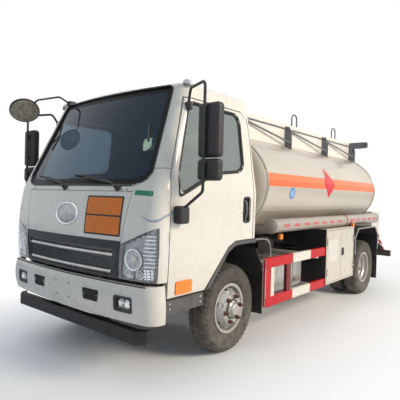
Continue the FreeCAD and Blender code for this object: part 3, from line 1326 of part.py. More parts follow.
rail_top = size("rail_bottom") + size("rail_height")
cradles = []
cradle_half, cradle_width = size("fender_inner") - 8, size("cradle_width")
for y in (tank_f + 180, tank_f + size("tank_length") / 2, tank_r - 180):
    block = Part.makeBox(2 * cradle_half, cradle_width, 400,
                         point(-cradle_half, y - cradle_width / 2, rail_top))
    relief = prism("XZ", [(-size("rail_half") + 60, rail_top - 1), (size("rail_half") - 60, rail_top - 1),
                          (size("rail_half") - 90, rail_top + 60), (-size("rail_half") + 90, rail_top + 60)],
                   y - 60, y + 60)
    block = block.cut(relief).cut(oversize)
    for sign in (1, -1):
        corner = prism("XZ", [(sign * (size("rail_half") + 10), rail_top - 1),
                              (sign * (cradle_half + 5), rail_top - 1),
                              (sign * (cradle_half + 5), rail_top + 150)], y - 60, y + 60)
        block = block.cut(corner)
    cradles.append(max(block.Solids, key=lambda solid: solid.Volume))
node(feature("cradles_body", Part.makeCompound(cradles)), "tank_cradles")

# Coaming panels on the tank's shoulders, with gussets, stays and a rear arm

coaming_x, coaming_wall, coaming_top = size("coaming_x"), size("coaming_wall"), size("coaming_top")
gusset_reach, gusset_wall = size("gusset_reach"), size("gusset_wall")
bay = size("tank_length") / 3


def coaming():
    """The left coaming: panel, four gussets, and the stays of each bay."""
    panel = Part.makeBox(coaming_wall, size("tank_length"), 700,
                         Vector(coaming_x - coaming_wall, AXLE_Y + tank_f, coaming_top - 700))
    lip = Part.makeBox(40, size("tank_length"), 8, Vector(coaming_x - 40, AXLE_Y + tank_f, coaming_top - 8))
    whole = panel.fuse(lip)
    for index in range(4):
        y = tank_f + bay * index
        y = min(y, tank_r - gusset_wall)
        plate = prism("XZ", [(coaming_x - 1, 1700), (coaming_x + gusset_reach, 1700),
                             (coaming_x + gusset_reach, coaming_top - 130), (coaming_x + gusset_reach - 34,
                                                                             coaming_top - 40),
                             (coaming_x - 1, coaming_top - 30)], y, y + gusset_wall)
        whole = whole.fuse(plate)
    for index in range(3):
        y_front = tank_f + bay * index + gusset_wall
        y_rear = min(tank_f + bay * (index + 1), tank_r - gusset_wall) + gusset_wall / 2
        for drop in (0, 110):
            upper = point(coaming_x + 12, y_front + 60, coaming_top - 70 - drop)
            lower = point(coaming_x + gusset_reach - 20, y_rear, 2044)
            if drop:
                lower = point(coaming_x + 60, y_rear - bay * 0.45, 2062)
            stay = Part.makeCylinder(11, (lower - upper).Length, upper, lower - upper)
            whole = whole.fuse(stay)
        rail_bar = Part.makeCylinder(9, y_rear - y_front,
                                     point(coaming_x + 8, y_front, coaming_top - 58), Y_AXIS)
        whole = whole.fuse(rail_bar)
    arm = prism("XZ", [(coaming_x - 1, coaming_top - 100), (coaming_x + 290, coaming_top - 92),
                       (coaming_x + 290, coaming_top - 2), (coaming_x - 1, coaming_top - 2)],
                tank_r - 40, tank_r - gusset_wall + 1)
    arm = rounded(arm, 30, Y_AXIS)
    post = prism("XZ", [(coaming_x - 1, 1900), (coaming_x + 60, 1900),
                        (coaming_x + 60, coaming_top - 60), (coaming_x - 1, coaming_top - 60)],
                 tank_r - 40, tank_r - gusset_wall + 1)
    whole = whole.fuse(arm.fuse(post))
    whole = whole.cut(Part.makeCompound(seam_room)).cut(oversize)
    return max(whole.Solids, key=lambda solid: solid.Volume)


left_coaming = feature("coaming_left", coaming())
node(pair("coamings_all", left_coaming), "coaming_panels")

# Manhole: collar on the crown and a hinged lid

MAN_Y = tank_f + size("tank_length") / 2
crown = size("tank_centre") + size("tank_half_height")
man_r, man_h, lid_wall = size("manhole_radius"), size("manhole_height"), size("lid_wall")
collar = Part.makeCylinder(man_r, man_h + 150, point(0, MAN_Y, crown - 150))
collar = collar.cut(Part.makeCylinder(man_r - 12, man_h + 160, point(0, MAN_Y, crown - 155)))
collar = collar.cut(oversize)
hinge_y = MAN_Y + man_r + 34
hinge_z = crown + man_h + 22
for x in (-60, 60):
    ear = prism("YZ", [(man_r - 6 + MAN_Y, crown + man_h - 70), (hinge_y + 16, hinge_z - 16),
                       (hinge_y + 16, hinge_z + 16), (hinge_y - 16, hinge_z + 16),
                       (hinge_y - 16, crown + man_h - 8), (man_r - 6 + MAN_Y, crown + man_h - 8)], x - 8, x + 8)
    collar = collar.fuse(ear)
collar = collar.fuse(Part.makeCylinder(7, 136, point(-68, hinge_y, hinge_z), X_AXIS))
node(feature("collar_body", collar), "manhole_collar")
lid = Part.makeCylinder(man_r + 14, lid_wall, point(0, MAN_Y, crown + man_h + 2))
lid = lid.fuse(Part.makeCylinder(man_r * 0.5, 26, point(0, MAN_Y, crown + man_h + 2)))
tongue = prism("YZ", [(MAN_Y + man_r - 10, crown + man_h + 2), (hinge_y - 24, crown + man_h + 2),
                      (hinge_y - 16, hinge_z - 14), (hinge_y + 14, hinge_z - 14),
                      (hinge_y + 14, hinge_z + 14), (hinge_y - 24, hinge_z + 14),
                      (MAN_Y + man_r - 10, crown + man_h + 2 + lid_wall)], -50, 50)
lid = lid.fuse(tongue)
for x in (-60, 60):
    lid = lid.cut(Part.makeBox(22, 60, 100, point(x - 11, hinge_y - 22, crown + man_h - 40)))
lid = lid.cut(Part.makeCylinder(7 + size("running_fit"), 200, point(-100, hinge_y, hinge_z), X_AXIS))
node(feature("lid_body", lid), "manhole_lid")

# Hoops over the coaming

hoops = []
for y in (1980, 3290):
    hoop_x = coaming_x - 40 - 9 - seat_gap / 3
    legs = tube_path([point(hoop_x, y - 70, 2100), point(hoop_x, y - 70, 2445),
                      point(hoop_x, y + 70, 2445), point(hoop_x, y + 70, 2100)], 9, 60)
    hoops.append(max(legs.cut(oversize).Solids, key=lambda solid: solid.Volume))
node(feature("hoops_body", Part.makeCompound(hoops)), "tank_hoops")

# Hose tubes along both sides, with domed front caps and their brackets

tube_x, tube_z, tube_r, tube_w = (size("tube_centre_x"), size("tube_centre_z"), size("tube_radius"),
                                  size("tube_wall"))
tube_f, tube_l = size("tube_front"), size("tube_length")


def hose_tube():
    """The left hose tube: a domed cap in front, open behind, with a joint ring and brackets."""
    body = Part.makeCylinder(tube_r, tube_l, point(tube_x, tube_f, tube_z), Y_AXIS)
    for y, long in ((tube_f, 26), (2600, 24), (tube_f + tube_l - 20, 20)):
        body = body.fuse(Part.makeCylinder(tube_r + 5, long, point(tube_x, y, tube_z), Y_AXIS))
    dome_radius = 165
    cap = Part.makeSphere(dome_radius, point(tube_x, tube_f - 17 + dome_radius, tube_z))
    cap_limits = Part.makeCylinder(tube_r + 1, 30, point(tube_x, tube_f - 20, tube_z), Y_AXIS)
    body = body.fuse(cap.common(cap_limits))
    for y in (tank_f + 260, tank_f + size("tank_length") / 2 + 60, tank_r - 240):
        body = body.fuse(Part.makeBox(tube_x - 520, 40, 30, point(520, y - 20, tube_z - 15)).cut(oversize))
    return body.cut(Part.makeCylinder(tube_r - tube_w, tube_l, point(tube_x, tube_f + 30, tube_z), Y_AXIS))


tube_shape = hose_tube()
tube_shape = max(tube_shape.Solids, key=lambda solid: solid.Volume)
node(pair("hose_tubes_all", feature("hose_tube_left", tube_shape)), "hose_tubes")

# Side guards, fuel tank, air filter and battery box

GUARD_X = "guard_half - guard_depth"
GUARD_Y = "front_axle_y + guard_front"
HIGH_RAIL_LOW = "guard_high - guard_rail"


def guard(name, end, posts, stays):
    """One left-hand side guard: a front post, two rails, posts between them and stays to the frame."""
    parts = [box(name + "_front", GUARD_X, GUARD_Y, "guard_low", "guard_depth", "110",
                 "guard_high - guard_low")]
    for level_name, low in (("low", "guard_low"), ("high", HIGH_RAIL_LOW)):
        parts.append(box("%s_rail_%s" % (name, level_name), GUARD_X, GUARD_Y, low, "guard_depth",
                         "%s - guard_front" % end, "guard_rail"))
    for index, y in enumerate(posts):
        parts.append(box("%s_post_%d" % (name, index), GUARD_X, "front_axle_y + " + y, "guard_low",
                         "guard_depth", "90", "guard_high - guard_low"))
    for index, y in enumerate(stays):
        parts.append(box("%s_stay_%d" % (name, index), "rail_half", "front_axle_y + " + y,
                         RAIL_TOP + " - 54", "guard_half - rail_half - 5", "50", "50"))
    return fuse(name, *parts)


GUARD_END = "cabinet_front - 2"
REAR_GUARD_END = "wheelbase - fender_reach - 30"
FRONT_POSTS = ["fuel_front - 140", "fuel_front + 205"]
STAYS = ["fuel_front - 120", "fuel_front + fuel_length + 60"]
left_guard = guard("guard_left", GUARD_END, FRONT_POSTS, STAYS)
right_guard_source = guard("guard_right_source", REAR_GUARD_END,
                           FRONT_POSTS + ["fuel_front + fuel_length + 40", REAR_GUARD_END + " - 200"],
                           STAYS + [REAR_GUARD_END + " - 180"])
node(group("side_guards_all", left_guard, mirror("guard_right", right_guard_source)), "side_guards")

fuel_x, fuel_y, fuel_z = size("rail_half") + 45, size("fuel_front"), size("fuel_low")
fuel_width, fuel_high = size("fuel_width"), size("fuel_height")
rail_foot = size("rail_bottom")


def fuel_block(grow, start, stop):
    """The fuel tank's rounded section, grown all round, between two distances."""
    corners = [(fuel_x - grow, fuel_z - grow), (fuel_x + fuel_width + grow, fuel_z - grow),
               (fuel_x + fuel_width + grow, fuel_z + fuel_high + grow),
               (fuel_x - grow, fuel_z + fuel_high + grow)]
    return rounded(prism("XZ", corners, start, stop), size("fuel_round") + grow, Y_AXIS)


fuel = fuel_block(0, fuel_y, fuel_y + size("fuel_length"))
for y in (fuel_y + 170, fuel_y + size("fuel_length") - 210):
    bracket = prism("XZ", [(size("rail_half"), rail_foot + 10), (fuel_x + 12, rail_foot + 10),
                           (fuel_x + 12, rail_foot + 90), (size("rail_half"), rail_foot + 90)], y, y + 42)
    fuel = fuel.fuse(fuel_block(5, y, y + 42)).fuse(bracket)
filler = Part.makeCylinder(38, 46, point(fuel_x + 300, fuel_y + 110, fuel_z + fuel_high - 6),
                           Vector(0.25, 0, 1))
node(feature("fuel_tank_body", fuel.fuse(filler)), "fuel_tank")

FILTER_Y = "front_axle_y + fuel_front + 300"
canister = rod("canister", "Y", "rail_half + 165", FILTER_Y, "rail_bottom + rail_height + 90", "88", "340")
canister_foot = box("canister_foot", "rail_half - 50", FILTER_Y + " + 120", RAIL_TOP, "220", "70", "50")
node(fuse("air_filter_body", canister, canister_foot), "air_filter")

battery = box("battery", "-rail_half - 60 - 330", "front_axle_y + fuel_front + 60", "rail_bottom - 110",
              "330", "560", "260")
battery_arm = box("battery_arm", "-rail_half - 62", "front_axle_y + fuel_front + 200", "rail_bottom + 20",
                  "62", "280", "60")
node(fuse("battery_box_body", battery, battery_arm), "battery_box")

# Pump cabinet with two doors

CAB_X = "cabinet_half - cabinet_depth"
CAB_Y = "front_axle_y + cabinet_front"
cabinet_block = box("cabinet_block", CAB_X, CAB_Y, "cabinet_low", "cabinet_depth", "cabinet_length",
                    "cabinet_high - cabinet_low")
cabinet_hollow = box("cabinet_hollow", CAB_X + " + cabinet_wall", CAB_Y + " + cabinet_wall",
                     "cabinet_low + cabinet_wall", "cabinet_depth", "cabinet_length - 2 * cabinet_wall",
                     "cabinet_high - cabinet_low - 2 * cabinet_wall")
cabinet_arms = []
for index, along in enumerate(("180", "cabinet_length - 240")):
    cabinet_arms.append(box("cabinet_arm_%d" % index, "rail_half", CAB_Y + " + " + along, RAIL_TOP + " - 80",
                            CAB_X + " - rail_half + 1", "60", "60"))
cabinet_frame = fuse("cabinet_frame", cut("cabinet_shell", cabinet_block, cabinet_hollow), *cabinet_arms)
HINGE_X = "cabinet_half + hinge_radius + 1"
HINGE_LINES = {
    "front": (CAB_Y + " + cabinet_wall + 2.5", 1),
    "rear": (CAB_Y + " + cabinet_length - cabinet_wall - 2.5", -1),
}
HINGE_LEVELS = ("cabinet_low + 150", "cabinet_high - 150")


def hinge_leaf(name, y, sign, low, high):
    """A knuckle and its plate on the cabinet's face, running along Y away from the pin."""
    knuckle_rod = rod(name + "_knuckle", "Z", HINGE_X, y, low, "hinge_radius", high)
    start = y if sign > 0 else y + " - 34"
    plate = box(name + "_plate", "cabinet_half", start, low, "4", "34", high)
    return fuse(name, knuckle_rod, plate)


hinges = []
for name, (line, way) in HINGE_LINES.items():
    for index, height in enumerate(HINGE_LEVELS):
        tag = "%s_%d" % (name, index)
        for low, part in (("-40", "low"), ("+ 14", "high")):
            hinges.append(hinge_leaf("fixed_%s_%s" % (part, tag), line, -way, height + low, "26"))
        hinges.append(rod("hinge_pin_" + tag, "Z", HINGE_X, line, height + " - 40", "3", "80"))
node(fuse("pump_cabinet_body", cabinet_frame, *hinges), "pump_cabinet")

for name, start in (("front", CAB_Y + " + cabinet_wall + 5"),
                    ("rear", CAB_Y + " + cabinet_length / 2 + 2.5")):
    line, way = HINGE_LINES[name]
    leaf = box("cabinet_leaf_" + name, "cabinet_half - cabinet_wall", start, "cabinet_low + cabinet_wall + 5",
               "cabinet_wall", "cabinet_length / 2 - cabinet_wall - 7.5",
               "cabinet_high - cabinet_low - 2 * cabinet_wall - 10")
    swinging = [leaf]
    bores = []
    for index, height in enumerate(HINGE_LEVELS):
        tag = "%s_%d" % (name, index)
        swinging.append(hinge_leaf("swinging_" + tag, line, way, height + " - 13", "26"))
        bores.append(rod("hinge_bore_" + tag, "Z", HINGE_X, line, height + " - 20", "3 + running_fit", "40"))
    node(cut("cabinet_door_%s_body" % name, fuse("cabinet_door_%s_blank" % name, *swinging), *bores),
         "cabinet_door_" + name)

# Rear fenders and mud flaps, front splash guards

FT = "fender_top"
fender = slab("fender", "YZ", [
    (REAR_Y + " - fender_reach", "620"),
    (REAR_Y + " - fender_reach", FT + " - 130"),
    (REAR_Y + " - fender_reach + 130", FT),
    (REAR_Y + " + fender_reach - 130", FT),
    (REAR_Y + " + fender_reach", FT + " - 130"),
    (REAR_Y + " + fender_reach", "620"),
    (REAR_Y + " + fender_reach - fender_wall", "620"),
    (REAR_Y + " + fender_reach - fender_wall", FT + " - 132"),
    (REAR_Y + " + fender_reach - 132", FT + " - fender_wall"),
    (REAR_Y + " - fender_reach + 132", FT + " - fender_wall"),
    (REAR_Y + " - fender_reach + fender_wall", FT + " - 132"),
    (REAR_Y + " - fender_reach + fender_wall", "620"),
], "fender_inner", "fender_half - fender_inner")
fender_arms = []
for name, y in (("front", REAR_Y + " - fender_reach"), ("rear", REAR_Y + " + fender_reach - 30")):
    fender_arms.append(box("fender_arm_" + name, "rail_half", y, "650", "fender_inner - rail_half + 60",
                           "30", "40"))
flap = box("rear_flap", "fender_inner + 20", REAR_Y + " + fender_reach", "165",
           "fender_half - fender_inner - 30", "flap_wall", "520")
splash = slab("splash", "YZ", [
    ("front_axle_y + 478", "250"),
    ("front_axle_y + 478 + flap_wall", "250"),
    ("front_axle_y + 478 + flap_wall", "640"),
    ("front_axle_y + 400 + flap_wall", "830"),
    ("front_axle_y + 355", "900"),
    ("front_axle_y + 350", "892"),
    ("front_axle_y + 391", "826"),
    ("front_axle_y + 478", "630"),
], "rail_half + 180", "cab_half - rail_half - 200")
splash_arm = box("splash_arm", "rail_half", "front_axle_y + 478", "600", "190", "flap_wall", "60")
wing = fuse("wing_left", fender, *fender_arms, flap)
splash_all = fuse("splash_left", splash, splash_arm)
node(group("mudguards_all", wing, mirror("wing_right", wing), splash_all, mirror("splash_right", splash_all)),
     "mudguards")

# Rear valve box and underrun bar

BOX_Y = "front_axle_y + box_front"
valve_block = box("valve_block", "-box_half", BOX_Y, "box_low",
                  "2 * box_half", "box_length", "box_high - box_low")
box_feet = []
for side, sign in sides():
    box_feet.append(box("box_foot_" + side, "%d * (rail_half - 30) - 30" % sign, BOX_Y + " + 40", RAIL_TOP,
                        "60", "box_length - 80", "box_low - (%s)" % RAIL_TOP))
node(fuse("valve_box_body", valve_block, *box_feet), "valve_box")

TAIL_Y = "front_axle_y + wheelbase + rear_overhang"
rear_bar = box("rear_bar", "-rear_bar_half", TAIL_Y, "rear_bar_low", "2 * rear_bar_half",
               "rear_bar_depth", "rear_bar_height")
bar_parts = [rear_bar]
for side, sign in sides():
    bar_parts.append(box("bar_drop_" + side, "%d * (rail_half - 30) - 25" % sign, TAIL_Y,
                         "rear_bar_low + 10", "50", "rear_bar_depth", "rail_bottom + 120 - rear_bar_low"))
    bar_parts.append(slab("tail_stay_" + side, "YZ", [
        (BOX_Y + " + box_length - 60", "box_low"),
        (BOX_Y + " + box_length", "box_low"),
        (TAIL_Y + " + rear_bar_depth - 5", "rear_bar_low + rear_bar_height - 1"),
        (TAIL_Y + " + 5", "rear_bar_low + rear_bar_height - 1"),
    ], "%d * (box_half - 20) - 15" % sign, "30"))
node(fuse("rear_bar_body", *bar_parts), "rear_underrun_bar")

# Ladder from the valve box up over the tank's rear end

ladder_half, box_top = size("ladder_half"), size("box_high")
rung_foot = point(ladder_half, size("box_front") + 34, box_top)
rung_head = point(ladder_half, size("box_front") - 80, size("tank_centre") + size("tank_half_height") + 115)
stile = tube_path([rung_foot, rung_head, point(ladder_half, tank_r - 70, rung_head.z),
                   point(ladder_half, tank_r - 70, rung_head.z - 160)], 14, 60).cut(oversize)
stile = max(stile.Solids, key=lambda solid: solid.Volume)
ladder = stile.fuse(stile.mirror(Vector(), X_AXIS))
for index in range(5):
    spot = rung_foot + (rung_head - rung_foot) * (0.14 + 0.19 * index)
    ladder = ladder.fuse(Part.makeCylinder(11, 2 * ladder_half, spot - X_AXIS * (2 * ladder_half), X_AXIS))
under_feet = Part.makeBox(4 * ladder_half, 300, 60, point(-2 * ladder_half, size("box_front") - 80, box_top - 60))
ladder = ladder.cut(under_feet)
node(feature("ladder_body", ladder), "rear_ladder")

# Check and write every sub-part

doc.recompute()
for thing in doc.Objects:
    bad = [state for state in thing.State if state in ("Invalid", "Error")]
    if bad:
        raise SystemExit("%s failed: %s" % (thing.Label, thing.State))
for thing in nodes:
    shape = thing.Shape
    if shape.isNull() or not shape.isValid() or not shape.Solids:
        raise SystemExit("%s has no valid solid" % thing.Label)

os.makedirs("parts", exist_ok=True)
for thing in nodes:
    thing.Shape.exportStep(os.path.join("parts", thing.Label + ".step"))
print("%d sub-parts written" % len(nodes))
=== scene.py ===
import math

import bmesh
import bpy
from mathutils import Matrix, Vector
from mathutils.bvhtree import BVHTree


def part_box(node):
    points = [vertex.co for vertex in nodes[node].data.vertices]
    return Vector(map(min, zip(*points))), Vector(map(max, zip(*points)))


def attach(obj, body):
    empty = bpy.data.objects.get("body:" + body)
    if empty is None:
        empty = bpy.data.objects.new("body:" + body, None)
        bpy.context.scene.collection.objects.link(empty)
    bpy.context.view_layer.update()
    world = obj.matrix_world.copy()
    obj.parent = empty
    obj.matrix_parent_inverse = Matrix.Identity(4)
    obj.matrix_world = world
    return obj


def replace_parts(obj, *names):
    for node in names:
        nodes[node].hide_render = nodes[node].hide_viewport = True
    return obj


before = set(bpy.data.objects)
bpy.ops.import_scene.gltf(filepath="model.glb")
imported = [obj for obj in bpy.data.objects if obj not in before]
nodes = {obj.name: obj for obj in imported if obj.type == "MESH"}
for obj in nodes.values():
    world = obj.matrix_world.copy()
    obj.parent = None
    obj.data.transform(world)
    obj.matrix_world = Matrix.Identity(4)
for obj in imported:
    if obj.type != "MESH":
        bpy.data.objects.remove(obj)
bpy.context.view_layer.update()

# Places shared by many pieces, in metres


def middle(node):
    """The middle of a CAD node's box."""
    low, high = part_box(node)
    return (Vector(low) + Vector(high)) / 2


AXLE_Y = middle("front_tyre_left").y
TYRE_RADIUS = middle("front_tyre_left").z
WHEELBASE = middle("rear_tyres_left").y - AXLE_Y
SIDES = (("left", 1), ("right", -1))


def at(x, y, z):
    """A point whose y is counted back from the front axle."""
    return Vector((x, AXLE_Y + y, z))


def turns(count, first=0.0):
    """Cosine and sine of angles spread evenly round a circle, from a first one in degrees."""
    angles = [math.radians(first) + 2 * math.pi * index / count for index in range(count)]
    return [(math.cos(angle), math.sin(angle)) for angle in angles]


def spread(low, high, count):
    """Evenly spaced numbers from low to high, in count steps."""
    return [low + (high - low) * index / count for index in range(count + 1)]


# Materials


def set_inputs(node, inputs):
    """Give a node's inputs their values, or link them to the sockets given."""
    for key, value in inputs.items():
        socket = node.inputs[key]
        if isinstance(value, bpy.types.NodeSocket):
            node.id_data.links.new(value, socket)
        else:
            socket.default_value = (*value, 1) if socket.type == "RGBA" else value


def add_node(tree, kind, inputs=(), out=0, **settings):
    """A shader node with its settings and inputs. Gives back one of its outputs."""
    node = tree.nodes.new("ShaderNode" + kind)
    for name, value in settings.items():
        setattr(node, name, value)
    set_inputs(node, inputs if isinstance(inputs, dict) else dict(enumerate(inputs)))
    return node.outputs[out]


def add_noise(tree, scale, detail=4.0, stretch=(1, 1, 1)):
    """A noise texture in the truck's own metres."""
    place = add_node(tree, "Mapping", {"Vector": add_node(tree, "TexCoord", out="Object"), "Scale": stretch})
    return add_node(tree, "TexNoise", {"Vector": place, "Scale": scale, "Detail": detail}, "Fac")


def add_range(tree, value, low, high, to_low=0, to_high=1):
    """Stretch a value from one range to another, clamped."""
    return add_node(tree, "MapRange", (value, low, high, to_low, to_high))


def add_maths(tree, operation, first, second):
    """One sum of two sockets or numbers."""
    return add_node(tree, "Math", (first, second), operation=operation)


def add_mix(tree, share, first, second):
    """Mix two colours, each a socket or three numbers."""
    return add_node(tree, "Mix", {0: share, 6: first, 7: second}, 2, data_type="RGBA")


def add_axis(tree, axis="Z", of="Object"):
    """One part of the place or the normal: the height above the ground, unless another is asked for."""
    return add_node(tree, "SeparateXYZ", {"Vector": add_node(tree, "TexCoord", out=of)}, axis)


DUST = (0.33, 0.27, 0.2)
LINER = (0.075, 0.075, 0.08)
FADE = 0.12  # Share of the dust that is left at the height where it ends
BUMP_DEPTH = 0.002


def material(name, colour, rough, vary, grain, metal=0.0, coat=0.0, bump=None, dust=None, stretch=(1, 1, 1),
             transmission=0.0, ior=1.45, specular=0.5, dust_colour=DUST, lining=None, sheen=(1, 1, 1)):
    """A finish with uneven colour and gloss, a bump (strength, scale) and road dust (amount, height it ends).

    With a lining, faces that look towards that point inside the cab get the liner's colour. The sheen
    tints what the surface mirrors.
    """
    made = bpy.data.materials.new(name)
    made.use_nodes = True
    tree = made.node_tree
    darker = tuple(value * (1 - vary) for value in colour)
    lighter = tuple(min(1.0, value * (1 + vary * 0.35)) for value in colour)
    shade = add_mix(tree, add_range(tree, add_noise(tree, grain, 5.0, stretch), 0.35, 0.68), darker, lighter)
    fine = add_noise(tree, grain * 3.7, 3.0, stretch)
    gloss = add_range(tree, fine, 0.3, 0.7, rough * 0.82, min(1.0, rough * 1.2))

    def cover(share, colour, dull):
        """Lay a duller colour over a share of the surface."""
        return (add_mix(tree, share, shade, colour),
                add_maths(tree, "MAXIMUM", gloss, add_maths(tree, "MULTIPLY", share, dull)))

    if dust:
        height = add_range(tree, add_axis(tree), 0.1, dust[1], dust[0], dust[0] * FADE)
        patches = add_range(tree, add_noise(tree, 14.0, 6.0), 0.36, 0.7, 0.35, 1.0)
        shade, gloss = cover(add_maths(tree, "MULTIPLY", height, patches), dust_colour, 0.9)
    if lining:
        place, normal = [add_node(tree, "TexCoord", out=of) for of in ("Object", "Normal")]
        offset = add_node(tree, "VectorMath", (place, lining), operation="SUBTRACT")
        facing_in = add_node(tree, "VectorMath", (offset, normal), "Value", operation="DOT_PRODUCT")
        shade, gloss = cover(add_range(tree, facing_in, -0.05, -0.01, 1, 0), LINER, 0.8)
    inputs = {"Base Color": shade, "Roughness": gloss, "Metallic": metal, "Coat Weight": coat,
              "Coat Roughness": 0.08, "Transmission Weight": transmission, "IOR": ior,
              "Specular IOR Level": specular, "Specular Tint": sheen}
    if bump:
        relief = {"Strength": bump[0], "Distance": BUMP_DEPTH,
                  "Height": add_noise(tree, bump[1], 4.0, stretch)}
        inputs["Normal"] = add_node(tree, "Bump", relief)
    set_inputs(tree.nodes["Principled BSDF"], inputs)
    return made


def repaint(made, share, tone):
    """Give a part of a finish another tone, by a share between 0 and 1."""
    colour = made.node_tree.nodes["Principled BSDF"].inputs["Base Color"]
    made.node_tree.links.new(add_mix(made.node_tree, share, colour.links[0].from_socket, tone), colour)


CREAM_TONE, CABINET_TONE = (0.8, 0.755, 0.675), (0.62, 0.565, 0.49)
CAR_PAINT = {"coat": 0.6, "dust": (0.3, 1.1), "bump": (0.04, 160)}
CREAM = material("cream_paint", CREAM_TONE, 0.28, 0.035, 3.0, **CAR_PAINT)
CAB_PAINT = material("cab_paint", CREAM_TONE, 0.28, 0.035, 3.0, lining=tuple(at(0, -0.35, 1.5)), **CAR_PAINT)
TANK_PAINT = material("tank_paint", (0.62, 0.555, 0.475), 0.34, 0.07, 2.2, metal=0.35, coat=0.35,
                      dust=(0.12, 1.6), bump=(0.05, 120), stretch=(1, 0.4, 1))
TANK_SHEET = material("tank_sheet", (0.5, 0.48, 0.45), 0.3, 0.12, 6.0, metal=0.7, bump=(0.06, 250),
                      stretch=(1, 6, 1))
ORANGE = material("orange_film", (0.84, 0.14, 0.02), 0.34, 0.08, 5.0, coat=0.25, dust=(0.05, 1.3))
BLACK = material("black_plastic", (0.018, 0.018, 0.02), 0.46, 0.3, 20, bump=(0.18, 420), dust=(0.22, 1.0))
GLOSS_BLACK = material("black_gloss", (0.008, 0.008, 0.01), 0.16, 0.3, 8, coat=0.3)
FRIT = material("black_border", (0.004, 0.004, 0.006), 0.34, 0.3, 8, specular=0.15)
CHASSIS = material("chassis_paint", (0.018, 0.018, 0.02), 0.55, 0.4, 12, bump=(0.25, 90), dust=(0.26, 0.9))
BAR_BLACK = material("bar_black", (0.01, 0.011, 0.014), 0.5, 0.35, 14, bump=(0.2, 120), dust=(0.06, 0.9))
SPRING = material("spring_steel", (0.045, 0.038, 0.032), 0.62, 0.5, 25, metal=0.3, bump=(0.3, 120),
                  dust=(0.6, 1.3))
IRON = material("cast_iron", (0.06, 0.055, 0.05), 0.7, 0.4, 18, metal=0.4, bump=(0.6, 80), dust=(0.5, 1.1))
RUST = material("rusty_steel", (0.2, 0.085, 0.045), 0.8, 0.45, 30, metal=0.2, bump=(0.7, 150))
RUBBER = material("tyre_rubber", (0.04, 0.037, 0.034), 0.78, 0.3, 16, bump=(0.35, 260), dust=(0.62, 1.0),
                  dust_colour=(0.27, 0.235, 0.19))
SEAL = material("rubber_seal", (0.012, 0.012, 0.013), 0.62, 0.3, 30, bump=(0.15, 250))
SILVER = material("wheel_silver", (0.56, 0.55, 0.53), 0.36, 0.12, 14, metal=0.55, bump=(0.12, 180),
                  dust=(0.42, 0.8))
STEEL = material("bright_steel", (0.6, 0.6, 0.59), 0.26, 0.12, 20, metal=0.95, bump=(0.08, 250),
                 stretch=(1, 1, 5))
CHROME = material("chrome", (0.8, 0.8, 0.8), 0.1, 0.06, 12, metal=1.0)
ALUMINIUM = material("bare_aluminium", (0.58, 0.57, 0.55), 0.38, 0.14, 10, metal=0.85, bump=(0.12, 140),
                     dust=(0.35, 0.9), stretch=(1, 5, 1))
HUB_DARK = material("hub_grease", (0.05, 0.045, 0.04), 0.5, 0.5, 40, metal=0.5, bump=(0.4, 250),
                    dust=(0.3, 1.3))
GLASS = material("window_glass", (0.62, 0.71, 0.69), 0.02, 0.02, 2, transmission=0.8, ior=1.6)
SCREEN_GLASS = material("screen_glass", (0.13, 0.19, 0.27), 0.02, 0.02, 2, transmission=1.0, ior=1.36,
                        sheen=(0.35, 0.62, 1.0))
MIRROR = material("mirror_glass", (0.62, 0.64, 0.66), 0.04, 0.04, 8, metal=1.0)
DUSTY_MIRROR = material("dusty_mirror", (0.36, 0.32, 0.24), 0.42, 0.45, 26, metal=0.35, bump=(0.15, 200))
LENS = material("clear_lens", (0.93, 0.95, 0.96), 0.03, 0.01, 4, transmission=1.0, ior=1.49)
REFLECTOR = material("lamp_reflector", (0.82, 0.84, 0.86), 0.12, 0.1, 25, metal=1.0, bump=(0.2, 60))
AMBER = material("amber_lens", (0.95, 0.27, 0.015), 0.18, 0.12, 60, coat=0.4, bump=(0.3, 300))
RED_LENS = material("red_lens", (0.55, 0.012, 0.012), 0.18, 0.12, 60, coat=0.4, bump=(0.3, 300))
RED_TAPE = material("red_tape", (0.58, 0.004, 0.012), 0.38, 0.14, 22, bump=(0.25, 600), dust=(0.04, 1.3),
                    specular=0.35)
WHITE_TAPE = material("white_tape", (0.8, 0.76, 0.69), 0.36, 0.1, 22, bump=(0.25, 600), dust=(0.15, 1.3))
RED_PAINT = material("red_mark", (0.6, 0.012, 0.025), 0.36, 0.1, 12)
PINK_PAINT = material("pale_red_mark", (0.66, 0.05, 0.06), 0.36, 0.1, 12)
BLUE_PAINT = material("blue_mark", (0.05, 0.24, 0.62), 0.34, 0.1, 12)
GREEN_FILM = material("green_film", (0.01, 0.26, 0.12), 0.32, 0.12, 12)
PLATE_ORANGE = material("plate_orange", (0.8, 0.2, 0.02), 0.4, 0.08, 20, bump=(0.2, 500))
PAPER = material("paper_label", (0.84, 0.8, 0.76), 0.7, 0.06, 20, bump=(0.05, 250))
LABEL = material("cabinet_label", (0.68, 0.64, 0.6), 0.6, 0.06, 20, bump=(0.05, 250))
FABRIC = material("seat_fabric", (0.06, 0.062, 0.072), 0.85, 0.25, 45, bump=(0.7, 900))
TRIM_GREY = material("interior_grey", (0.1, 0.1, 0.105), 0.7, 0.15, 14, bump=(0.35, 500))
GREY_BLUE = material("bracket_grey", (0.13, 0.14, 0.165), 0.45, 0.15, 8, bump=(0.08, 250))
ORANGE_LIGHT = material("orange_film_light", (0.88, 0.19, 0.05), 0.34, 0.08, 5.0, coat=0.25, dust=(0.05, 1.3))
PALE_BLUE = material("pale_blue_mark", (0.3, 0.52, 0.78), 0.34, 0.1, 12)
WAVE_BLUE = material("wave_film", (0.36, 0.42, 0.52), 0.32, 0.1, 12, coat=0.3)
GRIP_GREY = material("handle_grip", (0.16, 0.16, 0.165), 0.22, 0.2, 30, coat=0.4)
BADGE = material("badge_silver", (0.42, 0.44, 0.46), 0.32, 0.25, 30, metal=0.85, bump=(0.2, 160))
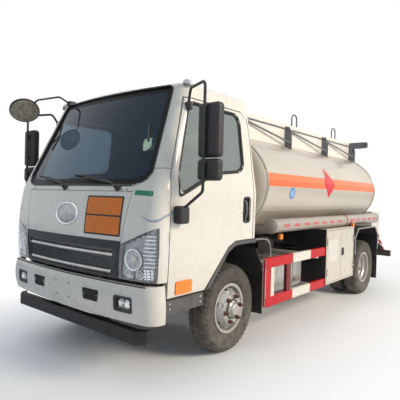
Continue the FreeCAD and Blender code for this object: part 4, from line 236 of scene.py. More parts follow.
PLATE_BLACK = material("plate_black", (0.01, 0.01, 0.011), 0.45, 0.3, 30, bump=(0.1, 250))
GRILLE_GREY = material("grille_grey", (0.022, 0.025, 0.031), 0.42, 0.2, 18, bump=(0.12, 420),
                       dust=(0.18, 1.1))
GRILLE_MESH = material("grille_mesh_grey", (0.04, 0.045, 0.054), 0.45, 0.2, 25, bump=(0.1, 250))
# Near black, for painted shade in the openings of grille and bumper vents
SHADE_BLACK = material("dark_backing", (0.01, 0.01, 0.011), 0.8, 0.4, 10)
LAMP_GREY = material("lamp_grey", (0.16, 0.165, 0.18), 0.3, 0.2, 20, metal=0.5)
LAMP_BASE = material("lamp_base", (0.34, 0.35, 0.38), 0.26, 0.45, 26, metal=0.85, bump=(0.5, 45))
LAMP_CUP = material("lamp_cup", (0.44, 0.45, 0.48), 0.2, 0.5, 34, metal=1.0, bump=(0.6, 40))
PALE_LENS = material("pale_lens", (0.72, 0.72, 0.69), 0.16, 0.1, 40, coat=0.5, bump=(0.2, 300))
DASH_RED = material("dash_red", (0.62, 0.06, 0.07), 0.4, 0.2, 40, bump=(0.2, 500))
# The guard's red, darkened as painted shade
RED_PAINTED_SHADE = material("dark_red_paint", (0.17, 0.008, 0.012), 0.4, 0.25, 20, bump=(0.1, 250))
FENDER_GREY = material("fender_rim_grey", (0.36, 0.36, 0.37), 0.4, 0.15, 18, metal=0.3, bump=(0.08, 250))
STEP_GREY = material("step_grey", (0.085, 0.085, 0.09), 0.5, 0.2, 14, bump=(0.2, 300), dust=(0.3, 0.9))
FLOOR = material("pale_floor", (0.95, 0.95, 0.95), 0.85, 0.01, 1.5)
CABINET = material("cabinet_paint", CABINET_TONE, 0.32, 0.05, 3.0, coat=0.4, dust=(0.16, 1.0),
                   bump=(0.04, 160))
CABINET_BODY_SHADED = material("cabinet_body_paint", CABINET_TONE, 0.36, 0.05, 3.0, coat=0.2,
                        dust=(0.16, 1.0))
COAMING = material("coaming_paint", CREAM_TONE, 0.32, 0.05, 3.0, coat=0.4)
TUBE_PAINT = material("tube_paint", (0.46, 0.4, 0.36), 0.34, 0.1, 9.0, metal=0.35, coat=0.2,
                      bump=(0.06, 250), dust=(0.1, 1.4))

# The rear window is a clearer pane than the windscreen. Dark: what stands out from the coamings, and, as
# painted shade, the cabinet's end walls
tree = SCREEN_GLASS.node_tree
repaint(SCREEN_GLASS, add_range(tree, add_axis(tree, "Y"), at(0, 0, 0).y, at(0, 0.1, 0).y),
        (0.42, 0.41, 0.22))
tree = COAMING.node_tree
from_middle = add_maths(tree, "ABSOLUTE", add_axis(tree, "X"), 0)
repaint(COAMING, add_range(tree, from_middle, 0.5484, 0.549), (0.13, 0.14, 0.16))
# Painted shade: cabinet faces that point forward or back are darkened to near black
tree = CABINET_BODY_SHADED.node_tree
ends = add_maths(tree, "ABSOLUTE", add_axis(tree, "Y", "Normal"), 0)
repaint(CABINET_BODY_SHADED, add_range(tree, ends, 0.5, 0.6), (0.016, 0.016, 0.018))

NODE_FINISH = {
    CAB_PAINT: "cab_shell door_left door_right",
    CREAM: "front_hood front_bumper valve_box",
    COAMING: "coaming_panels",
    CABINET: "cabinet_door_front cabinet_door_rear",
    CABINET_BODY_SHADED: "pump_cabinet",
    TUBE_PAINT: "hose_tubes",
    TANK_PAINT: "tank",
    ALUMINIUM: "fuel_tank",
    GREY_BLUE: "tank_hoops",
    STEEL: "manhole_collar manhole_lid rear_ladder",
    CHASSIS: "frame_rails cross_members front_axle rear_axle drive_shaft knuckle_left knuckle_right tie_rod "
             "tilt_brackets tank_cradles rear_underrun_bar battery_box",
    BAR_BLACK: "front_underrun_bar",
    SPRING: "leaf_springs",
    IRON: "engine",
    BLACK: "grille mudguards air_filter mirror_left mirror_right front_mirror wipers",
    STEP_GREY: "entry_steps arch_trims",
    TRIM_GREY: "dashboard steering_wheel",
    RUBBER: " ".join(name for name in nodes if "tyre" in name),
    SILVER: " ".join(name for name in nodes if "wheel" in name and name != "steering_wheel"),
    GLASS: "door_glass_left door_glass_right",
    SCREEN_GLASS: "cab_glass",
    LENS: "cab_lamps chassis_lamps",
    FABRIC: "seats",
    WHITE_TAPE: "side_guards",
}
for finish, names in NODE_FINISH.items():
    for name in names.split():
        slots = nodes[name].data.materials
        slots.clear()
        slots.append(finish)

# Shapes


def arc_corners(outline, radius, steps=5):
    """An outline with each corner rounded."""
    rounded = []
    for index, corner in enumerate(outline):
        here = Vector(corner)
        before = Vector(outline[index - 1]) - here
        after = Vector(outline[(index + 1) % len(outline)]) - here
        reach = min(radius, before.length * 0.45, after.length * 0.45)
        start = here + before.normalized() * reach
        end = here + after.normalized() * reach
        rounded += [tuple(start.lerp(here, share).lerp(here.lerp(end, share), share))
                    for share in spread(0, 1, steps)]
    return rounded


def shrink(outline, amount):
    """An outline drawn in by an amount, each edge moved straight in."""
    count = len(outline)
    area = sum(outline[i - 1][0] * outline[i][1] - outline[i][0] * outline[i - 1][1] for i in range(count))
    way = 1 if area > 0 else -1
    drawn = []
    for index in range(count):
        here = Vector(outline[index])
        before = (here - Vector(outline[index - 1])).normalized()
        after = (Vector(outline[(index + 1) % count]) - here).normalized()
        inward = Vector((-before.y - after.y, before.x + after.x)) * way
        share = max(0.35, 1 + before.dot(after))
        drawn.append(tuple(here + inward * (amount / share)))
    return drawn


def drawn_in(outline, amount, radius):
    """An outline drawn in by an amount, with its corners rounded."""
    return arc_corners(shrink(outline, amount), radius)


def rectangle(u0, u1, v0, v1, radius=0.0):
    """A rectangle, with its corners rounded if a radius is given."""
    outline = [(u0, v0), (u1, v0), (u1, v1), (u0, v1)]
    return arc_corners(outline, radius) if radius else outline


def smooth_points(points, steps=8):
    """A smooth run of points through the given ones."""
    points = [Vector(point) for point in points]
    ends = [points[0] * 2 - points[1]] + points + [points[-1] * 2 - points[-2]]
    run = []
    for a, b, c, d in zip(ends, ends[1:], ends[2:], ends[3:]):
        for t in spread(0, 1, steps)[:-1]:
            run.append(0.5 * (2 * b + (c - a) * t + (2 * a - 5 * b + 4 * c - d) * t * t
                              + (3 * b - a - 3 * c + d) * t * t * t))
    return run + [points[-1]]


def bridge(bm, rings, closed=False, around=True, capped=False):
    """Faces between each ring of corners and the next; closed joins the last ring to the first."""
    for first, second in zip(rings, rings[1:] + (rings[:1] if closed else [])):
        for step in range(len(first) if around else len(first) - 1):
            other = (step + 1) % len(first)
            bm.faces.new((first[step], first[other], second[other], second[step]))
    if capped:
        bm.faces.new(rings[0][::-1])
        bm.faces.new(rings[-1])


def extrude_all(bm, faces, offset):
    """Give flat faces a depth along a vector."""
    for thing in bmesh.ops.extrude_face_region(bm, geom=faces)["geom"]:
        if isinstance(thing, bmesh.types.BMVert):
            thing.co += offset


DIRECTIONS = {
    "front": (Vector((0, 1, 0)), lambda u, v: at(u, -2.0, v)),
    "back": (Vector((0, -1, 0)), lambda u, v: at(u, 6.0, v)),
    "left": (Vector((-1, 0, 0)), lambda u, v: at(2.0, u, v)),
    "right": (Vector((1, 0, 0)), lambda u, v: at(-2.0, u, v)),
    "top": (Vector((0, 0, -1)), lambda u, v: at(u, v, 4.0)),
}
trees = {}


def surface(names):
    """A search tree over the faces of some CAD nodes, named in one string."""
    if names not in trees:
        verts, faces = [], []
        for name in names.split():
            mesh = nodes[name].data
            start = len(verts)
            verts += [vert.co.copy() for vert in mesh.vertices]
            faces += [[start + index for index in face.vertices] for face in mesh.polygons]
        trees[names] = BVHTree.FromPolygons(verts, faces)
    return trees[names]


def drop(names, side, u, v, lift):
    """A point that is cast onto the CAD surface from one side, and lifted off it."""
    direction, start = DIRECTIONS[side]
    origin = start(u, v)
    spot = surface(names).ray_cast(origin, direction)[0]
    if spot is None:
        spot = surface(names).find_nearest(origin + direction)[0]
    return spot - direction * lift


def outward(names, side, u, v, gap=0.01):
    """A point on a CAD surface and the direction straight out of it."""
    spot = drop(names, side, u, v, 0)
    across = drop(names, side, u + gap, v, 0) - spot
    above = drop(names, side, u, v + gap, 0) - spot
    axis = across.cross(above).normalized()
    return spot, -axis if axis.dot(DIRECTIONS[side][0]) > 0 else axis


class Form:
    """A mesh under construction, in the truck's own frame."""

    def __init__(self):
        self.bm = bmesh.new()

    def ring(self, points):
        """Corners at some points."""
        return [self.bm.verts.new(point) for point in points]

    def block(self, corner, opposite, turn=None):
        """A box between two corners, turned about its middle."""
        low, high = [Vector([pick(pair) for pair in zip(corner, opposite)]) for pick in (min, max)]
        for vert in bmesh.ops.create_cube(self.bm, size=1.0)["verts"]:
            spot = vert.co * (high - low)
            vert.co = (low + high) / 2 + (turn @ spot if turn else spot)
        return self

    def rod(self, start, end, radius, sides=20, end_radius=None):
        """A round bar between two points."""
        axis = end - start
        turn = axis.to_track_quat("Z", "Y").to_matrix().to_4x4()
        bmesh.ops.create_cone(self.bm, cap_ends=True, segments=sides, radius1=radius,
                              radius2=radius if end_radius is None else end_radius, depth=axis.length,
                              matrix=Matrix.Translation((start + end) / 2) @ turn)
        return self

    def bolt(self, centre, axis, across, height):
        """A bolt head with its washer, standing on a surface."""
        self.rod(centre - axis * 0.002, centre + axis * height * 0.25, across * 0.72, 16)
        return self.rod(centre, centre + axis * height, across * 0.56, 6)

    def ball(self, centre, radius, scale, sides=20):
        """A ball, stretched along the axes."""
        for vert in bmesh.ops.create_uvsphere(self.bm, u_segments=sides, v_segments=sides // 2,
                                              radius=radius)["verts"]:
            vert.co = centre + vert.co * Vector(scale)
        return self

    def lathe(self, centre, axis, profile, steps=64):
        """A section of (along, radius) points turned about an axis."""
        axis = Vector(axis).normalized()
        side = axis.orthogonal().normalized()
        up = axis.cross(side)
        bridge(self.bm, [self.ring([centre + axis * along + (side * c + up * s) * max(radius, 1e-5)
                                    for c, s in turns(steps)]) for along, radius in profile])
        return self

    def tube(self, points, radius, sides=10, closed=False):
        """A round tube along a run of points."""
        count = len(points)
        rings, normal = [], None
        for index, point in enumerate(points):
            ahead = points[(index + 1) % count] if closed or index < count - 1 else point
            behind = points[index - 1] if closed or index else point
            tangent = (ahead - behind).normalized()
            if normal is None:
                normal = tangent.orthogonal().normalized()
            normal = (normal - tangent * normal.dot(tangent)).normalized()
            other = tangent.cross(normal)
            rings.append(self.ring([point + (normal * c + other * s) * radius for c, s in turns(sides)]))
        bridge(self.bm, rings, closed, capped=not closed)
        return self

    def plate(self, corners, depth):
        """A flat plate: corners in space, given depth along a vector."""
        extrude_all(self.bm, [self.bm.faces.new(self.ring(corners))], Vector(depth))
        return self

    def film(self, names, side, outline, lift=0.0008, thick=0.0015, step=0.04, inner=None):
        """A thin sheet laid on CAD nodes from one side: an outline of (u, v), or a ring between two."""
        flat = bmesh.new()
        if inner is None:
            flat.faces.new([flat.verts.new((u, v, 0)) for u, v in outline])
            for axis in (0, 1):
                low, high = [pick(point[axis] for point in outline) for pick in (min, max)]
                normal = Vector((1 - axis, axis, 0))
                count = int((high - low) / step)
                for cut in spread(low, high, count + 1)[1:-1]:
                    everything = flat.verts[:] + flat.edges[:] + flat.faces[:]
                    bmesh.ops.bisect_plane(flat, geom=everything, plane_co=normal * cut, plane_no=normal)
        else:
            pairs = [(Vector((*outer_point, 0)), Vector((*inner_point, 0)))
                     for outer_point, inner_point in zip(outline, inner)]
            loops = []
            for share in (0.0, 0.5, 1.0):
                loop = []
                for (here, here_in), (there, there_in) in zip(pairs, pairs[1:] + pairs[:1]):
                    start, end = here.lerp(here_in, share), there.lerp(there_in, share)
                    pieces = max(1, int((there - here).length / step))
                    loop += [flat.verts.new(start.lerp(end, part / pieces)) for part in range(pieces)]
                loops.append(loop)
            bridge(flat, loops)
        bmesh.ops.triangulate(flat, faces=[face for face in flat.faces if len(face.verts) > 4])
        for vert in flat.verts:
            vert.co = drop(names, side, vert.co.x, vert.co.y, lift)
        extrude_all(flat, flat.faces[:], DIRECTIONS[side][0] * -thick)
        mesh = bpy.data.meshes.new("film_part")
        flat.to_mesh(mesh)
        flat.free()
        self.bm.from_mesh(mesh)
        bpy.data.meshes.remove(mesh)
        return self

    def done(self, name, finish, body, bevel=0.0, angle=35.0, segments=2):
        """Turn the mesh into a piece that rides on a body."""
        bmesh.ops.recalc_face_normals(self.bm, faces=self.bm.faces)
        limit = math.radians(angle)
        for edge in self.bm.edges:
            edge.smooth = len(edge.link_faces) == 2 and edge.calc_face_angle(0.0) < limit
        for face in self.bm.faces:
            face.smooth = True
        mesh = bpy.data.meshes.new(name)
        self.bm.to_mesh(mesh)
        self.bm.free()
        made = bpy.data.objects.new(name, mesh)
        bpy.context.collection.objects.link(made)
        mesh.materials.append(finish)
        if bevel:
            soften = made.modifiers.new("soft_edges", "BEVEL")
            soften.width = bevel
            soften.segments = segments
            soften.limit_method = "ANGLE"
            soften.angle_limit = limit
        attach(made, body)
        return made


# Windscreen border, seals and cowl

SCREEN_LOW, SCREEN_HIGH = 0.838, 0.73
COWL, SCREEN_TOP = 1.448, 2.256
screen = [(-SCREEN_LOW + 0.12, COWL), (SCREEN_LOW - 0.12, COWL), (SCREEN_LOW, COWL + 0.062),
          (SCREEN_HIGH, SCREEN_TOP), (-SCREEN_HIGH, SCREEN_TOP), (-SCREEN_LOW, COWL + 0.062)]
Form().film("cab_glass", "front", drawn_in(screen, 0.004, 0.06), 0.001, 0.0012,
            inner=drawn_in(screen, 0.046, 0.05)).done("windscreen_border", FRIT, "cab")
Form().film("cab_shell cab_glass front_hood", "front", drawn_in(screen, -0.012, 0.07), 0.0015, 0.003,
            inner=drawn_in(screen, 0.006, 0.06)).done("windscreen_seal", SEAL, "cab", bevel=0.001)


def corner_point(side, angle, z, lift, centre=(0.78, -0.8)):
    """A point on the cab's front corner, seen along an angle from the side (0) to the front (90)."""
    away = Vector((side * math.cos(math.radians(angle)), -math.sin(math.radians(angle)), 0))
    start = at(side * centre[0], centre[1], z) + away * 2.0
    return surface("cab_shell door_left door_right cab_glass").ray_cast(start, -away)[0] + away * lift


WAVE_STEPS = 14
for name, side in SIDES:
    run = [corner_point(side, angle, 1.571, 0.0) for angle in range(74, 9, -4)]
    Form().tube(run, 0.0022, 6).done("pillar_seam_" + name, SEAL, "cab")
    run = [corner_point(side, 24, 1.79 + 0.0165 * index, 0.0, (0.78, -0.862 + 0.0045 * index))
           for index in range(10)]
    Form().tube(run, 0.0105, 10).done("pillar_slot_" + name, GLOSS_BLACK, "cab", bevel=0.002)
    wave = Form()
    edges = [[], []]
    for index in range(WAVE_STEPS + 1):
        z = 1.228 - 0.03 * math.sin(math.pi * min(1.0, index / 9)) + 0.045 * max(0.0, (index - 7) / 7) ** 1.5
        for edge, height in zip(edges, (z, z - 0.006 - 0.014 * min(1, index / 6))):
            edge.append(corner_point(side, 78 - index * 5.0, height, 0.0009))
    bridge(wave.bm, [wave.ring(edge) for edge in edges], around=False)
    wave.done("corner_wave_" + name, WAVE_BLUE, "cab")
holes = Form()
for x in (-0.655, -0.6, 0.6, 0.655):
    holes.lathe(*outward("cab_shell front_hood", "front", x, 1.411),
                [(-0.001, 0.0065), (0.001, 0.0065), (0.0012, 0)], 16)
holes.done("cowl_holes", SEAL, "cab")
mark = arc_corners([(0.735, 1.372), (0.905, 1.366), (0.905, 1.402), (0.74, 1.408)], 0.006)
Form().film("cab_shell", "front", mark, 0.0008, 0.0006).done("green_mark", GREEN_FILM, "cab")

# Side windows, handles and reflectors on the doors

window = [(-0.775, 1.372), (-0.769, 1.53), (-0.575, 2.106), (0.06, 2.106),
          (0.11, 2.05), (0.11, 1.65), (0.045, 1.598), (-0.33, 1.56)]
handle = rectangle(0.095, 0.185, 1.155, 1.365)
LOCK = [(-0.001, 0.011), (0.002, 0.011), (0.003, 0.009), (0.003, 0.0)]
for name, side in SIDES:
    door, body = "door_" + name, "door_%s_body" % name
    Form().film(door + " door_glass_" + name, name, drawn_in(window, -0.014, 0.055), 0.0012, 0.003,
                inner=drawn_in(window, 0.012, 0.045)).done("window_seal_" + name, SEAL, body, bevel=0.001)
    bezel = Form().film(door, name, drawn_in(handle, -0.013, 0.038), 0.0006, 0.004,
                        inner=arc_corners(handle, 0.03))
    bezel.film(door, name, drawn_in(handle, 0.004, 0.026), 0.0006, 0.001)
    bezel.done("handle_bezel_" + name, GLOSS_BLACK, body, bevel=0.0015)
    foot, axis = outward(door, name, 0.14, 1.26)
    run = [foot + axis * out + Vector((0, 0, up)) for out, up in
           ((0.003, -0.085), (0.017, -0.055), (0.021, 0), (0.017, 0.055), (0.003, 0.085))]
    Form().tube(smooth_points(run), 0.01, 12).done("handle_grip_" + name, GRIP_GREY, body)
    lock = Form().lathe(*outward(door, name, 0.065, 1.235), LOCK, 24)
    lock.done("door_lock_" + name, STEEL, body)
    Form().film(door, name, rectangle(-0.785, -0.601, 0.64, 0.738, 0.014), 0.0, 0.011).done(
        "door_reflector_" + name, AMBER, body, bevel=0.003)
    ribs = Form()
    for u in (-0.738, -0.692, -0.646):
        ribs.film(door, name, rectangle(u - 0.0015, u + 0.0015, 0.65, 0.728), 0.0105, 0.0018)
    ribs.done("reflector_ribs_" + name, AMBER, body)

# Mirror glass

for name, side in SIDES:
    panes = Form()
    for low, high in ((1.672, 2.012), (1.5, 1.624)):
        panes.film("mirror_" + name, "back", rectangle(side * 1.13, side * 1.29, low, high, 0.026),
                   0.0008, 0.0016)
    panes.done("mirror_glass_" + name, MIRROR, "door_%s_body" % name, bevel=0.0008)
facing = Vector((0.58, -0.31, -0.755)).normalized()
Form().lathe(at(-1.004, -0.93, 2.187) + facing * 0.0004, facing,
             [(0.0, 0.134), (0.003, 0.131), (0.008, 0.1), (0.011, 0.055), (0.012, 0.0)], 72).done(
    "front_mirror_glass", DUSTY_MIRROR, "cab")

# Hood: plain oval badge and blank orange plate with its divider

BADGE_WIDE, BADGE_HIGH = 0.146, 0.088
spot, axis = outward("front_hood", "front", 0.0, 1.205)
right = Vector((1, 0, 0))
up = axis.cross(right).normalized() * (1 if axis.cross(right).z > 0 else -1)


def oval(share, lift):
    """The points of an oval about the badge's middle, at a share of its size."""
    wide, high = right * BADGE_WIDE * share, up * BADGE_HIGH * share
    return [spot + wide * c + high * s + axis * lift for c, s in turns(72)]


Form().tube(oval(1.0, 0.003), 0.0085, 12, closed=True).done("hood_badge_ring", CHROME, "cab")
face = Form()
rings = [face.ring(oval(share, lift)) for share, lift in
         ((0.96, 0.001), (0.92, 0.005), (0.7, 0.009), (0.4, 0.012), (0.12, 0.013))]
bridge(face.bm, rings)
face.bm.faces.new(rings[-1])
face.done("hood_badge", BADGE, "cab")
PLATE_ON = "front_hood cab_shell"
Form().film(PLATE_ON, "front", rectangle(0.246, 0.646, 1.06, 1.36, 0.008), 0.0006, 0.0018).done(
    "plate_base", PLATE_BLACK, "cab", bevel=0.0006)
panels = Form()
for low, high in ((1.073, 1.204), (1.217, 1.347)):
    panels.film(PLATE_ON, "front", rectangle(0.26, 0.632, low, high, 0.003), 0.0022, 0.0008)
panels.done("plate_panels", PLATE_ORANGE, "cab")

# Grille: frame, honeycomb mesh, two bright strips and a black sheet of painted shade behind them

grille = [(-0.632, 0.749), (0.632, 0.749), (0.654, 1.024), (-0.654, 1.024)]
opening = [(-0.585, 0.772), (0.585, 0.772), (0.6, 0.962), (-0.6, 0.962)]
grille_y = {}


def on_grille(x, z, lift=0.0):
    """A point on the grille's smooth outer face, between samples of its frame."""
    key = round(x, 3)
    if key not in grille_y:
        grille_y[key] = [min(drop("grille", "front", x, height, 0).y for height in heights)
                         for heights in ((0.752, 0.756, 0.76), (1.012, 1.016, 1.02))]
    low, high = grille_y[key]
    return Vector((x, low + (high - low) * (z - 0.756) / 0.26 - lift, z))


frame_form = Form()
outer_run, inner_run = arc_corners(grille, 0.012, 3), arc_corners(opening, 0.03, 3)
rings = []
for run, lift in ((outer_run, -0.017), (outer_run, 0.0), (inner_run, 0.0), (inner_run, -0.017)):
    ring = []
    for index, (here, there) in enumerate(zip(run, run[1:] + run[:1])):
        for share in spread(0, 1, 24 if index % 4 == 3 else 1)[:-1]:
            spot = Vector(here).lerp(Vector(there), share)
            ring.append(on_grille(spot.x, spot.y, lift))
    rings.append(frame_form.ring(ring))
bridge(frame_form.bm, rings, closed=True)
grille_frame = frame_form.done("grille_frame", GRILLE_GREY, "cab", bevel=0.002)

mesh_form = Form()
CELL, HOLE_SHARE = 0.0115, 0.74
CELL_WIDE = CELL * math.sqrt(3)
corners = {}


def grid_corner(x, z, lift):
    """One shared corner of the mesh."""
    key = (round(x, 4), round(z, 4), lift)
    if key not in corners:
        corners[key] = mesh_form.bm.verts.new(on_grille(round(x, 2), z, lift))
        corners[key].co.x = x
    return corners[key]


row, z = 0, 0.775
while z < 0.962:
    x = -0.585 + (CELL_WIDE / 2 if row % 2 else 0)
    while x < 0.59:
        hexagon = [(x + CELL * s, z + CELL * c) for c, s in turns(6)]
        small = [(x + (u - x) * HOLE_SHARE, z + (v - z) * HOLE_SHARE) for u, v in hexagon]
        bridge(mesh_form.bm, [[grid_corner(u, v, lift) for u, v in points]
                              for points, lift in ((hexagon, -0.006), (small, -0.006), (small, -0.012))])
        x += CELL_WIDE
    z += CELL * 1.5
    row += 1
grille_mesh = mesh_form.done("grille_mesh", GRILLE_MESH, "cab")
strips = Form()
STRIP_SECTION = ((0.01, -0.012), (-0.001, -0.01), (-0.005, 0.0), (-0.001, 0.01), (0.01, 0.012))
for z, half in ((0.922, 0.575), (0.796, 0.56)):
    rings = [strips.ring([on_grille(x, z, 0.001) + Vector((0, dy, dz)) for dy, dz in STRIP_SECTION])
             for x in spread(-half, half, 24)]
    bridge(strips.bm, rings, capped=True)
grille_strips = strips.done("grille_strips", ALUMINIUM, "cab", bevel=0.001)
# A black sheet behind the mesh: painted shade for the dark inside of the grille
shade_sheet = Form()
bridge(shade_sheet.bm, [shade_sheet.ring([on_grille(x, z, -0.0175) for x in spread(-0.625, 0.625, 24)])
                    for z in (0.752, 1.018)], around=False)
shade_sheet.done("grille_backing", SHADE_BLACK, "cab")
for piece in (grille_frame, grille_mesh, grille_strips):
    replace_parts(piece, "grille")

# Headlamps: clear lens, dark bezel, round bowls and a ribbed panel, and the roof lamps

for name, side in SIDES:
    outline = [(side * 0.641, 0.752), (side * 0.966, 0.752), (side * 0.966, 1.166), (side * 0.9, 1.135),
               (side * 0.668, 1.012)]
    lamp_front = ("cab_lamps", "front")
    Form().film(*lamp_front, outline, -0.0155, 0.013, 0.03, shrink(outline, 0.016)).done(
        "lamp_bezel_" + name, LAMP_GREY, "cab", bevel=0.0015)
    base = Form().film(*lamp_front, shrink(outline, 0.004), -0.0168, 0.001, 0.025)
    base.done("lamp_base_" + name, LAMP_BASE, "cab")
    bowls, cups, bulbs = Form(), Form(), Form()
    for x, z, radius in ((0.778, 0.905, 0.08), (0.745, 0.8, 0.038), (0.838, 0.797, 0.034)):
        spot, axis = outward(*lamp_front, side * x, z)
        for form, steps, profile in (
                (bowls, 48, ((0.006, 1), (0.0112, 0.985), (0.0112, 0.9), (0.007, 0.86))),
                (cups, 48, ((0.0072, 0.87), (0.0035, 0.74), (0.0012, 0.5), (0.0006, 0.3))),
                (bulbs, 32, ((0.0004, 0.34), (0.008, 0.3), (0.0105, 0.2), (0.0112, 0)))):
            section = [(along, radius * share) for along, share in profile]
            form.lathe(spot - axis * 0.015, axis, section, steps)
    bowls.done("lamp_rings_" + name, REFLECTOR, "cab")
    cups.done("lamp_bowls_" + name, LAMP_CUP, "cab")
    bulbs.done("lamp_bulbs_" + name, PALE_LENS, "cab")
    ribs = Form()
    for index in range(9):
        start = 0.874 if index < 3 else 0.846 + 0.005 * index
        z = 0.865 + 0.027 * index
        ribs.tube([drop(*lamp_front, side * x, z, -0.0095) for x in spread(start, 0.948, 6)], 0.0048, 8)
    facets = Form()
    for row in range(4):
        for column in range(3):
            spot, axis = outward(*lamp_front, side * (0.88 + 0.026 * column), 0.772 + 0.021 * row)
            facets.lathe(spot - axis * 0.015, axis, [(0.0, 0.0115), (0.004, 0.008), (0.0052, 0.0)], 8)
    ribs.done("lamp_ribs_" + name, REFLECTOR, "cab")
    facets.done("lamp_facets_" + name, REFLECTOR, "cab")
    lens = Form().film(*lamp_front, shrink(outline, 0.001), -0.0022, 0.0018, 0.025)
    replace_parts(lens.done("lamp_lens_" + name, LENS, "cab"), "cab_lamps")
    centre = at(side * 0.835, -0.548, 2.264)
    tilt = Vector((side * 0.45, 0, 1)).normalized()
    roof = Form()
    roof.lathe(centre, tilt, [(0.012, 0.04), (0.018, 0.0385), (0.028, 0.034), (0.036, 0.02), (0.039, 0.0)],
               36)
    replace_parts(roof.done("roof_lamp_lens_" + name, PALE_LENS, "cab"), "cab_lamps")
    foot = Form().lathe(centre, tilt, [(-0.004, 0.044), (0.012, 0.044), (0.015, 0.041), (0.015, 0.0)], 36)
    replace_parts(foot.done("roof_lamp_foot_" + name, SILVER, "cab", bevel=0.001), "cab_lamps")

# Bumper: vents, fog lamps, plate holes and mounting screws

for name, side in SIDES:
    wide_top = [(side * 0.27, 0.64), (side * 0.46, 0.64), (side * 0.448, 0.551), (side * 0.282, 0.551)]
    # Each vent opening is a black film: painted shade for the dark inside of the vent
    Form().film("front_bumper engine", "front", arc_corners(wide_top, 0.016), 0.0006, 0.0016, 0.5).done(
        "bumper_vent_" + name, SHADE_BLACK, "chassis", bevel=0.0006)
    slats = Form()
    for index in range(4):
        run = [drop("front_bumper", "front", side * x, 0.645, -0.003) for x in (0.29, 0.33, 0.365, 0.4, 0.44)]
        slats.tube([Vector((*spot.xy, 0.566 + 0.0195 * index)) for spot in run], 0.004, 8)
    slats.done("bumper_slats_" + name, PLATE_BLACK, "chassis")
CLIP = [(-0.004, 0.0075), (0.0012, 0.0075), (0.0016, 0.006), (0.0004, 0.004), (-0.002, 0.0)]
screws = Form()
for x in (-0.091, 0.091):
    for z in (0.53, 0.64):
        spot, axis = outward("front_bumper", "front", x + 0.02, z)
        screws.lathe(Vector((x, spot.y, z)), axis, CLIP, 20)
screws.done("plate_clips", BLACK, "chassis")
Form().film("front_bumper", "front", rectangle(-0.9, 0.9, 0.716, 0.725), 0.0008, 0.002).done(
    "bumper_top_line", SEAL, "chassis")

FOG_BOWL = [(0.014, 0.031), (0.0145, 0.029), (0.006, 0.022), (0.003, 0.01), (0.009, 0.008), (0.01, 0.0)]
TAIL_LOW, TAIL_ENDS = 0.495, (0.6, 0.668, 0.736, 0.8)
for name, side in SIDES:
    fog = rectangle(side * 0.633, side * 0.783, 0.533, 0.623)
    rim = Form().film("front_bumper chassis_lamps", "front", drawn_in(fog, -0.014, 0.022), 0.001, 0.0045,
                      inner=drawn_in(fog, 0.01, 0.012))
    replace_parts(rim.done("fog_frame_" + name, BLACK, "chassis", bevel=0.002), "chassis_lamps")
    inside = Form().film("chassis_lamps", "front", drawn_in(fog, 0.002, 0.012), -0.022, 0.002)
    for x in (0.672, 0.74):
        spot, axis = outward("chassis_lamps", "front", side * x, 0.578)
        inside.lathe(spot - axis * 0.02, axis, FOG_BOWL, 36)
    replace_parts(inside.done("fog_bowl_" + name, REFLECTOR, "chassis"), "chassis_lamps")
    cover = Form().film("chassis_lamps", "front", drawn_in(fog, 0.003, 0.012), -0.003, 0.0025)
    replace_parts(cover.done("fog_lens_" + name, LENS, "chassis"), "chassis_lamps")
    for index, finish in enumerate((RED_LENS, AMBER, PALE_LENS)):
        low, high = sorted((side * TAIL_ENDS[index], side * TAIL_ENDS[index + 1]))
        lamp = Form()
        lamp.block(at(low + 0.002, 4.835, TAIL_LOW + 0.006), at(high - 0.002, 4.879, TAIL_LOW + 0.106))
        for x in spread(low, high, 5)[1:-1]:
            lamp.block(at(x - 0.0015, 4.878, TAIL_LOW + 0.014), at(x + 0.0015, 4.8805, TAIL_LOW + 0.098))
        lens = lamp.done("tail_lens_%s_%d" % (name, index), finish, "chassis", bevel=0.003)
        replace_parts(lens, "chassis_lamps")
    housing = Form().block(at(side * 0.6, 4.829, TAIL_LOW + 0.0005), at(side * 0.8, 4.868, TAIL_LOW + 0.11))
    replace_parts(housing.done("tail_housing_" + name, BLACK, "chassis", bevel=0.004), "chassis_lamps")

# Wiper blades with their rubbers

blades, caps = Form(), Form()
for x in (-0.09, 0.56):
    run = []
    for share in spread(0, 1, 12):
        v = 1.468 + 0.062 * share + 0.01 * math.sin(math.pi * share)
        run.append(drop("cab_glass cab_shell", "front", x - 0.1 - 0.5 * share, v, 0.0115))
    blades.tube(run, 0.0045, 8)
    blades.tube([spot + Vector((0, 0.0065, 0)) for spot in run], 0.0028, 6)
    caps.lathe(*outward("cab_shell front_hood", "front", x, 1.424),
               [(0.0, 0.03), (0.006, 0.03), (0.016, 0.022), (0.022, 0.014), (0.024, 0.0)], 32)
blades.done("wiper_blades", BLACK, "cab")
caps.done("wiper_pivots", BLACK, "cab")

# Steps: tread plates with teeth

for name, side in SIDES:
    tread = Form().block(at(side * 0.745, -0.88, 0.6125), at(side * 0.963, -0.46, 0.6155))
    for index in range(26):
        y = -0.872 + 0.016 * index
        for x in (0.765, 0.805, 0.845, 0.885, 0.925, 0.956):
            tread.rod(at(side * x, y, 0.615), at(side * x, y, 0.6225), 0.0058, 6, 0.0034)
    tread.done("step_tread_" + name, BLACK, "chassis")
    screws = Form()
    for y in (-0.845, -0.49):
        for z in (0.545, 0.585):
            screws.lathe(at(side * 0.965, y, z), (side, 0, 0),
                         [(-0.002, 0.008), (0.002, 0.008), (0.0035, 0.004), (0.0035, 0.0)], 16)
    screws.done("step_screws_" + name, STEEL, "chassis")
